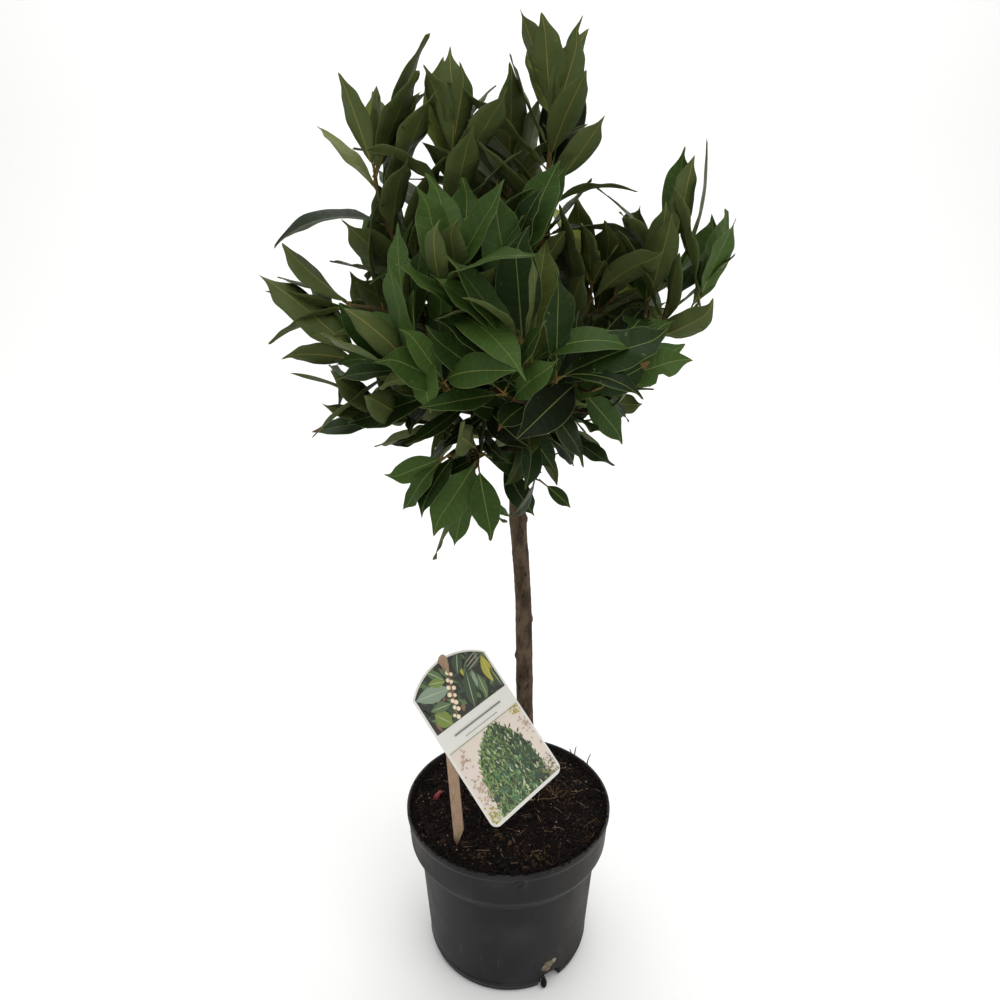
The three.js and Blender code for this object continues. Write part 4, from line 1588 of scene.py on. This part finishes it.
@dataclass
class Label:
    """The plant label: a printed card on a wooden stick, with a made-up print of leaves, buds and a bush."""

    border: float = 2.0 * MM
    foot_border: float = 2.9 * MM
    layer: float = 0.05 * MM
    band: tuple[float, float] = (0.497, 0.631)
    head_rise: float = 14.5 * MM
    corner: float = 5 * MM
    edge_round: float = 0.18 * MM
    thicket_leaves: int = 170
    bush_leaves: int = 820
    buds: int = 14
    seed: int = 17

    def read_frame(self) -> None:
        """Finds the card's plane, its upright direction and its sizes from the frame's card."""
        points = node_points("label_card")
        middle = points.mean(0)
        _, _, axes = np.linalg.svd(points - middle, full_matrices=False)
        self.front = axes[2] if axes[2][1] < 0 else -axes[2]
        flat = (points - middle) @ axes[:2].T
        angles = np.radians(np.arange(0, 90, 0.25))
        turns = np.stack([np.cos(angles), np.sin(angles)], -1)
        along = flat @ turns.T
        across = flat @ np.stack([-turns[:, 1], turns[:, 0]])
        best = int((np.ptp(along, axis=0) * np.ptp(across, axis=0)).argmin())
        u = turns[best] @ axes[:2]
        v = np.cross(self.front, u)
        if np.ptp(points @ u) > np.ptp(points @ v):
            u, v = v, u
        self.up = v if v[2] > 0 else -v
        self.right = np.cross(self.up, self.front) * -1
        self.right = self.right if self.right[0] > 0 else -self.right
        x, y = (points - middle) @ self.right, (points - middle) @ self.up
        self.width, self.height = np.ptp(x), np.ptp(y)
        centre = middle + self.right * (x.max() + x.min()) / 2 + self.up * (y.max() + y.min()) / 2
        depth = ((points - centre) @ self.front).max()
        self.centre = centre + self.front * depth

    def plate(self, outline: np.ndarray, layer: int, ink: Ink) -> Surface:
        """A thin closed plate of ink on the card.

        Args:
            outline: corners of a convex shape on the card, anticlockwise seen from the front, in metres.
            layer: how many layers of ink lie beneath it.
            ink: its colour.

        Returns:
            The plate.
        """
        flat = self.centre + outline[:, :1] * self.right + outline[:, 1:] * self.up
        low = flat + self.front * (self.layer * (layer - 0.4))
        high = flat + self.front * (self.layer * (layer + 1))
        rings = np.stack([low, high])
        return capped(rings, low.mean(0), high.mean(0), ink)

    def leaf(self, x: float, y: float, angle: float, length: float, width: float) -> np.ndarray:
        """Outline of a printed leaf: a lens from (x, y), kept in its picture."""
        t = np.linspace(0, 1, 6)
        half = width / 2 * np.sin(math.pi * t) ** 0.9
        under, over = np.stack([t * length, -half], -1), np.stack([t * length, half], -1)
        outline = np.concatenate([under, over[-2:0:-1]])
        turn = np.array([[math.cos(angle), math.sin(angle)], [-math.sin(angle), math.cos(angle)]])
        outline = outline @ turn + [x, y]
        outline[:, 0] = np.clip(outline[:, 0], -self.half, self.half)
        roof = self.head_top - self.head_radius + np.sqrt(self.head_radius**2 - outline[:, 0] ** 2)
        floor = self.picture_foot if y < self.band_low else self.band_high
        outline[:, 1] = np.clip(outline[:, 1], floor, roof if y >= self.band_low else self.band_low)
        return outline

    def measure(self) -> None:
        """Works out the places of the two pictures on the card from its frame sizes."""
        top, bottom = self.height / 2, -self.height / 2
        self.half = self.width / 2 - self.border
        self.picture_foot = bottom + self.foot_border
        self.band_low, self.band_high = (bottom + share * self.height for share in self.band)
        self.head_top = top - self.border
        self.head_radius = (self.half**2 + self.head_rise**2) / (2 * self.head_rise)

    def panels(self) -> tuple[np.ndarray, np.ndarray]:
        """Outlines of the upper picture, with an arched head, and of the lower, with round lower corners."""
        swing = math.asin(self.half / self.head_radius)
        arc = np.linspace(swing, -swing, 17)
        head = np.stack([np.sin(arc), np.cos(arc) - 1], -1) * self.head_radius + [0, self.head_top]
        upper = np.concatenate([[[-self.half, self.band_high], [self.half, self.band_high]], head])
        arc = np.linspace(0, math.pi / 2, 6)
        inner = np.array([self.half - self.corner, self.picture_foot + self.corner])
        right = inner + self.corner * np.stack([np.sin(arc), -np.cos(arc)], -1)
        left = right[::-1] * [-1, 1]
        lower = np.concatenate([[[-self.half, self.band_low]], left, right, [[self.half, self.band_low]]])
        return upper, lower

    def build(
        self, inks: list[bpy.types.Material], card: bpy.types.Material, wood: bpy.types.Material
    ) -> None:
        """Prints the card, and dresses the card and the stick.

        Args:
            inks: finishes of the print, by ink number.
            card: finish of the card.
            wood: finish of the stick.
        """
        self.read_frame()
        self.measure()
        rng = np.random.default_rng(self.seed)
        heap = Heap()
        upper, lower = self.panels()
        heap.add(self.plate(upper, 0, Ink.DARK))
        heap.add(self.plate(lower, 0, Ink.BLUSH))
        self.print_sprig(heap, rng)
        self.print_bush(heap, rng)
        self.print_bars(heap)
        heap.piece("label_print", "label_card", inks, smooth=False)
        for node, finish, name in (("label_card", card, "card_sheet"), ("label_stick", wood, "wooden_stick")):
            self.softened(node, name, finish)

    def print_bars(self, heap: Heap) -> None:
        """The white band's thin rule, and two plain bars in the place of words."""
        bars = ((0.0, 0.5, self.half, Ink.YELLOW_GREEN), (4.2, 0.5, 18 * MM, Ink.STONE),
                (9.2, 1.5, 26 * MM, Ink.GREY))
        for low, thick, reach, ink in bars:
            y = self.band_low + low * MM
            bar = np.array([[-reach, y], [reach, y], [reach, y + thick * MM], [-reach, y + thick * MM]])
            heap.add(self.plate(bar, 12, ink))

    def print_sprig(self, heap: Heap, rng: np.random.Generator) -> None:
        """The upper picture: a thicket of dark leaves, broad leaves over it, and a spray of cream buds.

        Each broad leaf's row is: start across and up as shares of the picture, bearing in degrees, length and
        width in millimetres, and ink.
        """
        wide, tall = 2 * self.half, self.head_top - self.head_rise - self.band_high
        thicket_inks = [Ink.DARK, Ink.DEEP_GREEN, Ink.GREEN, Ink.BROWN]
        for number in range(self.thicket_leaves):
            x, y = rng.uniform(-1, 1) * self.half, self.band_high + rng.uniform(-0.1, 1.45) * tall
            ink = rng.choice(thicket_inks, p=[0.3, 0.4, 0.24, 0.06])
            angle, length, width = rng.normal(1.5, 0.9), rng.uniform(8, 15) * MM, rng.uniform(2, 4.5) * MM
            shape = self.leaf(x, max(y, self.band_high), angle, length, width)
            heap.add(self.plate(shape, 1 + number % 3, Ink(ink)))
        rows = ((0.41, 0.97, 123, 19, 8, Ink.GREEN), (0.41, 0.95, 158, 16, 8, Ink.YELLOW_GREEN),
                (0.00, 0.96, -12, 33, 14, Ink.GREY_GREEN), (0.33, 0.43, 168, 20, 8, Ink.GREEN),
                (0.22, 0.00, 122, 18, 14, Ink.YELLOW_GREEN), (0.58, 0.92, 57, 20, 10, Ink.DEEP_GREEN),
                (0.74, 0.02, 80, 22, 8, Ink.GREEN), (0.97, 0.02, 92, 20, 7, Ink.DEEP_GREEN),
                (0.70, 0.36, 75, 16, 4, Ink.GREY_GREEN), (0.90, 0.25, 81, 25, 10, Ink.YELLOW),
                (0.70, 0.84, 14, 21, 1.5, Ink.STONE), (0.70, 0.93, 15, 21, 1.4, Ink.STONE),
                (0.70, 1.02, 16, 18, 1.2, Ink.STONE), (0.54, 0.00, 69, 33, 12, Ink.DEEP_GREEN),
                (0.63, 0.80, 80, 10, 3, Ink.YELLOW))
        for number, (across, up, bearing, length, width, ink) in enumerate(rows):
            x, y = (across - 0.5) * wide, self.band_high + up * tall
            angle = math.radians(bearing)
            heap.add(self.plate(self.leaf(x, y, angle, length * MM, width * MM), 4 + number % 2, ink))
            if width > 6:
                heap.add(self.plate(self.leaf(x, y, angle, length * 0.95 * MM, 0.6 * MM), 6, Ink.PALE_GREEN))
        foot, head = np.array([-0.21 * wide, self.band_high]), np.array([0.0, self.band_high + 1.12 * tall])
        along = head - foot
        stalk = self.leaf(*foot, math.atan2(along[1], along[0]), np.linalg.norm(along), 3 * MM)
        heap.add(self.plate(stalk, 7, Ink.BROWN))
        turn = np.linspace(0, TAU, 8, endpoint=False)
        circle = np.stack([np.cos(turn), np.sin(turn)], -1)
        for number, share in enumerate(np.linspace(0.06, 0.98, self.buds)):
            centre = foot + along * share + [(-1) ** number * rng.uniform(0.4, 3.2) * MM, 0]
            size = rng.uniform(1.5, 2.1) * MM
            heap.add(self.plate(centre + size * circle, 8 + number % 2, Ink.CREAM))

    def print_bush(self, heap: Heap, rng: np.random.Generator) -> None:
        """The lower picture: a full bush before a pale wall, of many small leaves lit from the left.

        At share y of the picture's height the bush is 0.36(1 - y^4) + 0.02 of its width to either side.
        Each patch of small leaves beside it has a row: middle across and up as shares of the picture,
        spread across and up, how many, and ink.
        """
        wide, low, tall = 2 * self.half, self.picture_foot, self.band_low - self.picture_foot

        def middle(y: np.ndarray) -> np.ndarray:
            """Place of the bush's middle line."""
            return (0.02 * y + 0.06 * y**6) * wide

        def reach(y: np.ndarray) -> np.ndarray:
            """Half width of the bush."""
            return (0.36 * (1 - y**4) + 0.02) * wide

        y = np.linspace(0, 0.97, 12)
        right, left = middle(y) + 0.94 * reach(y), middle(y) - 0.94 * reach(y)
        across, up = np.concatenate([right, left[::-1]]), np.concatenate([y, y[::-1]])
        heap.add(self.plate(np.stack([across, low + up * tall], -1), 1, Ink.DEEP_GREEN))
        for number in range(self.bush_leaves):
            y, x = rng.uniform(0, 0.97), rng.uniform(-1, 1)
            shade = x * 0.8 + rng.normal(0, 0.75)
            ink = Ink.LIGHT_GREEN if shade < -0.45 else Ink.GREEN if shade < 0.5 else Ink.DEEP_GREEN
            ink = Ink.DARK if shade > 1.2 else ink
            ink = Ink.TEAL if y < 0.45 and abs(x) < 0.6 and rng.uniform() < 0.25 else ink
            ink = Ink.PALE_GREEN if rng.uniform() < 0.09 else ink
            place = (middle(y) + x * reach(y), low + (y - 0.03) * tall)
            angle, length = math.pi / 2 + rng.normal(0, 0.55), rng.uniform(3, 5.6) * MM
            shape = self.leaf(*place, angle, length, rng.uniform(1.1, 1.8) * MM)
            heap.add(self.plate(shape, 2 + number % 4, ink))
        patches = ((0.03, 0.10, 0.05, 0.10, 60, Ink.YELLOW), (0.10, 0.04, 0.06, 0.04, 26, Ink.PALE_GREEN),
                   (0.92, 0.10, 0.06, 0.10, 70, Ink.STONE), (0.90, 0.06, 0.06, 0.05, 26, Ink.YELLOW_GREEN),
                   (0.10, 0.42, 0.05, 0.18, 60, Ink.CLAY), (0.13, 0.85, 0.04, 0.06, 20, Ink.CLAY),
                   (0.97, 0.96, 0.06, 0.03, 26, Ink.YELLOW), (0.95, 0.72, 0.02, 0.09, 22, Ink.CLAY))
        for across, up, spread, rise, count, ink in patches:
            for number in range(count):
                x, y = rng.normal(across, spread), np.clip(rng.normal(up, rise), 0, 0.98)
                angle, length = rng.uniform(0, TAU), rng.uniform(1.6, 3.4) * MM
                shape = self.leaf((x - 0.5) * wide, low + y * tall, angle, length, 1.1 * MM)
                heap.add(self.plate(shape, 6 + number % 3, ink))

    def softened(self, node: str, name: str, finish: bpy.types.Material) -> None:
        """A copy of a node with its doubled corners merged and its edges rounded, which stands in for it."""
        made = bpy.data.objects.new(name, FRAME["nodes"][node].data.copy())
        bpy.context.scene.collection.objects.link(made)
        made.data.name = name
        made.data.materials.clear()
        made.data.materials.append(finish)
        weld = made.modifiers.new("weld", "WELD")
        weld.merge_threshold = 0.02 * MM
        bevel = made.modifiers.new("bevel", "BEVEL")
        bevel.width = self.edge_round
        bevel.segments = 2
        bevel.limit_method = "ANGLE"
        bevel.angle_limit = math.radians(40)
        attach(made, "root")
        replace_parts(made, node)
        LOG.info("%s made from %s", name, node)


# ---------------------------------------------------------------------------------------------- studio


@dataclass
class Studio:
    """A pale floor, soft lights and the camera."""

    camera_place: tuple[float, float, float] = (-0.0077, -0.582, 0.634)
    camera_pitch: float = 18.02
    lens: float = 27.0
    sky: float = 0.75
    plant_middle: tuple[float, float, float] = (0, 0, 0.45)
    sweep_middle: tuple[float, float, float] = (0, 2.8, 0.9)
    floor_half: float = 12.0
    bend_from: float = 1.8
    bend_radius: float = 1.2
    sweep_top: float = 4.0

    def build(self) -> None:
        """Makes the floor, the lights and the camera."""
        self.make_floor()
        self.make_lights()
        data = bpy.data.cameras.new("camera")
        data.lens, data.sensor_width = self.lens, 36
        data.clip_start, data.clip_end = 0.01, 50
        camera = bpy.data.objects.new("camera", data)
        bpy.context.scene.collection.objects.link(camera)
        camera.location = self.camera_place
        camera.rotation_euler = (math.radians(90 - self.camera_pitch), 0, 0)
        bpy.context.scene.camera = camera

    def make_floor(self) -> None:
        """A pale paper sweep: level under the pot, then turned up in a wide bend far behind the plant."""
        low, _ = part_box("pot")
        half, far, radius = self.floor_half, self.bend_from, self.bend_radius
        swing = np.linspace(0, math.pi / 2, 24)
        line = np.stack([far + radius * np.sin(swing), radius - radius * np.cos(swing)], -1)
        line = np.concatenate([[[-half, 0.0]], line, [[far + radius, self.sweep_top]]])
        points = [(x, y, low.z - 0.2 * MM + z) for y, z in line.tolist() for x in (-half, half)]
        mesh = bpy.data.meshes.new("floor")
        mesh.from_pydata(points, [], grid_faces(len(line), 2, False).tolist())
        mesh.polygons.foreach_set("use_smooth", np.full(len(mesh.polygons), True))
        mesh.materials.append(Finish("pale_paper_floor", "#fafaf9", 0.9, 0.1).material())
        floor = bpy.data.objects.new("floor", mesh)
        bpy.context.scene.collection.objects.link(floor)
        floor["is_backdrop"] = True

    def make_lights(self) -> None:
        """A white sky, a broad key light over the front, a weaker fill from the left, and the sweep's own."""
        world = bpy.data.worlds.new("soft_sky")
        bpy.context.scene.world = world
        world.use_nodes = True
        sky = world.node_tree.nodes["Background"]
        sky.inputs["Color"].default_value = (1, 1, 1, 1)
        sky.inputs["Strength"].default_value = self.sky
        bpy.context.scene.view_settings.view_transform = "Standard"
        plant, sweep = Vector(self.plant_middle), Vector(self.sweep_middle)
        for name, place, aim, power, size in (
            ("key", (0.6, -0.9, 2.3), plant, 13, 1.3), ("fill", (-1.6, -0.9, 1.3), plant, 2.4, 1.2),
            ("backdrop", (0, 1.3, 3.4), sweep, 45, 2.4),
        ):
            data = bpy.data.lights.new(name, "AREA")
            data.energy, data.size = power, size
            light = bpy.data.objects.new(name, data)
            bpy.context.scene.collection.objects.link(light)
            light.location = place
            light.rotation_euler = (aim - Vector(place)).to_track_quat("-Z", "Y").to_euler()


def write_sizes() -> None:
    """Updates the view layer."""
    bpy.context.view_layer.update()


# Grown bark is matt grey brown with dark cracks and pale dots, and young bark turns olive higher up.
GROWN_BARK = Bark("bay_bark_grown", "#392e24", 0.85, 0.15)
YOUNG_BARK = Bark("bay_shoot_bark", "#302816", 0.7, 0.2, pale="#4d3f24", crack="#1b140b", green="#544822",
                  brown_up_to=0.52, green_from=0.66)
# Moulded polypropylene is a satin near black, greyed by dust in soft blotches and by upright scuffs, and
# lighter and browner on its two sides, partly dust and partly painted sheen.
POT_PLASTIC = MouldedPlastic("black_polypropylene_moulded", "#111112", 0.5, 0.2, dust="#2c2a2a",
                             scuff="#4a4744", side_dust_and_sheen="#241f1c")
# The flake is mottled buff where compost dried on the wall, and the crumb in the notch is dark and matt.
STUCK_FINISHES = [
    Peat("dried_compost", "#6b624e", 0.9, 0.2, dry="#a39981"), Finish("damp_crumb", "#1c0f0e", 0.9, 0.2),
]
# Damp peat is near black and has no shine. What lies on it runs from black crumbs to pale chips and roots.
PEAT = Peat("damp_peat", "#0b0706", 0.95, 0.12, dry="#1c120d")
LOOSE_FINISHES = [
    Finish("peat_crumb_dark", "#0d0807", 0.95, 0.15), Finish("peat_crumb_brown", "#2f1f18", 0.95, 0.15),
    Finish("bark_chip", "#4a3527", 0.9, 0.2), Finish("pale_chip", "#9c8b76", 0.9, 0.2),
    Finish("root_fibre", "#33231a", 0.9, 0.2), Finish("red_plastic_scrap", "#740f19", 0.5),
    Finish("moss_crumb", "#443a22", 0.9, 0.15), Finish("pale_root_fibre", "#76604b", 0.9, 0.2),
]
# Coated card is a satin off-white, and sawn softwood a warm tan with fine lines along the grain.
CARD = Finish("coated_card", "#dedcd4", 0.4)
STICK_WOOD = SawnWood("sawn_softwood", "#a68c74", 0.8, 0.3)


def main() -> None:
    """Builds the studio, then the plant, its pot and its label."""
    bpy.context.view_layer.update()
    Studio().build()
    crown = Crown()
    crown.read_frame()
    crown.grow()
    crown.build_leaves([finish.material() for finish in LEAF_FINISHES])
    wood = Wood()
    grown, young = GROWN_BARK.material(), YOUNG_BARK.material()
    wood.build_trunk(grown)
    wood.build_boughs(crown, young)
    pot = Pot()
    pot.build_shell(POT_PLASTIC.material())
    pot.build_crumbs([finish.material() for finish in STUCK_FINISHES])
    Compost().build(PEAT.material(), [finish.material() for finish in LOOSE_FINISHES])
    inks = [Finish(f"offset_ink_{ink.name.lower()}", INK_COLOURS[ink], 0.4).material() for ink in Ink]
    Label().build(inks, CARD.material(), STICK_WOOD.material())
    write_sizes()


if __name__ == "__main__":
    logging.basicConfig(level=logging.INFO, format="%(message)s")
    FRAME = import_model()
    main()
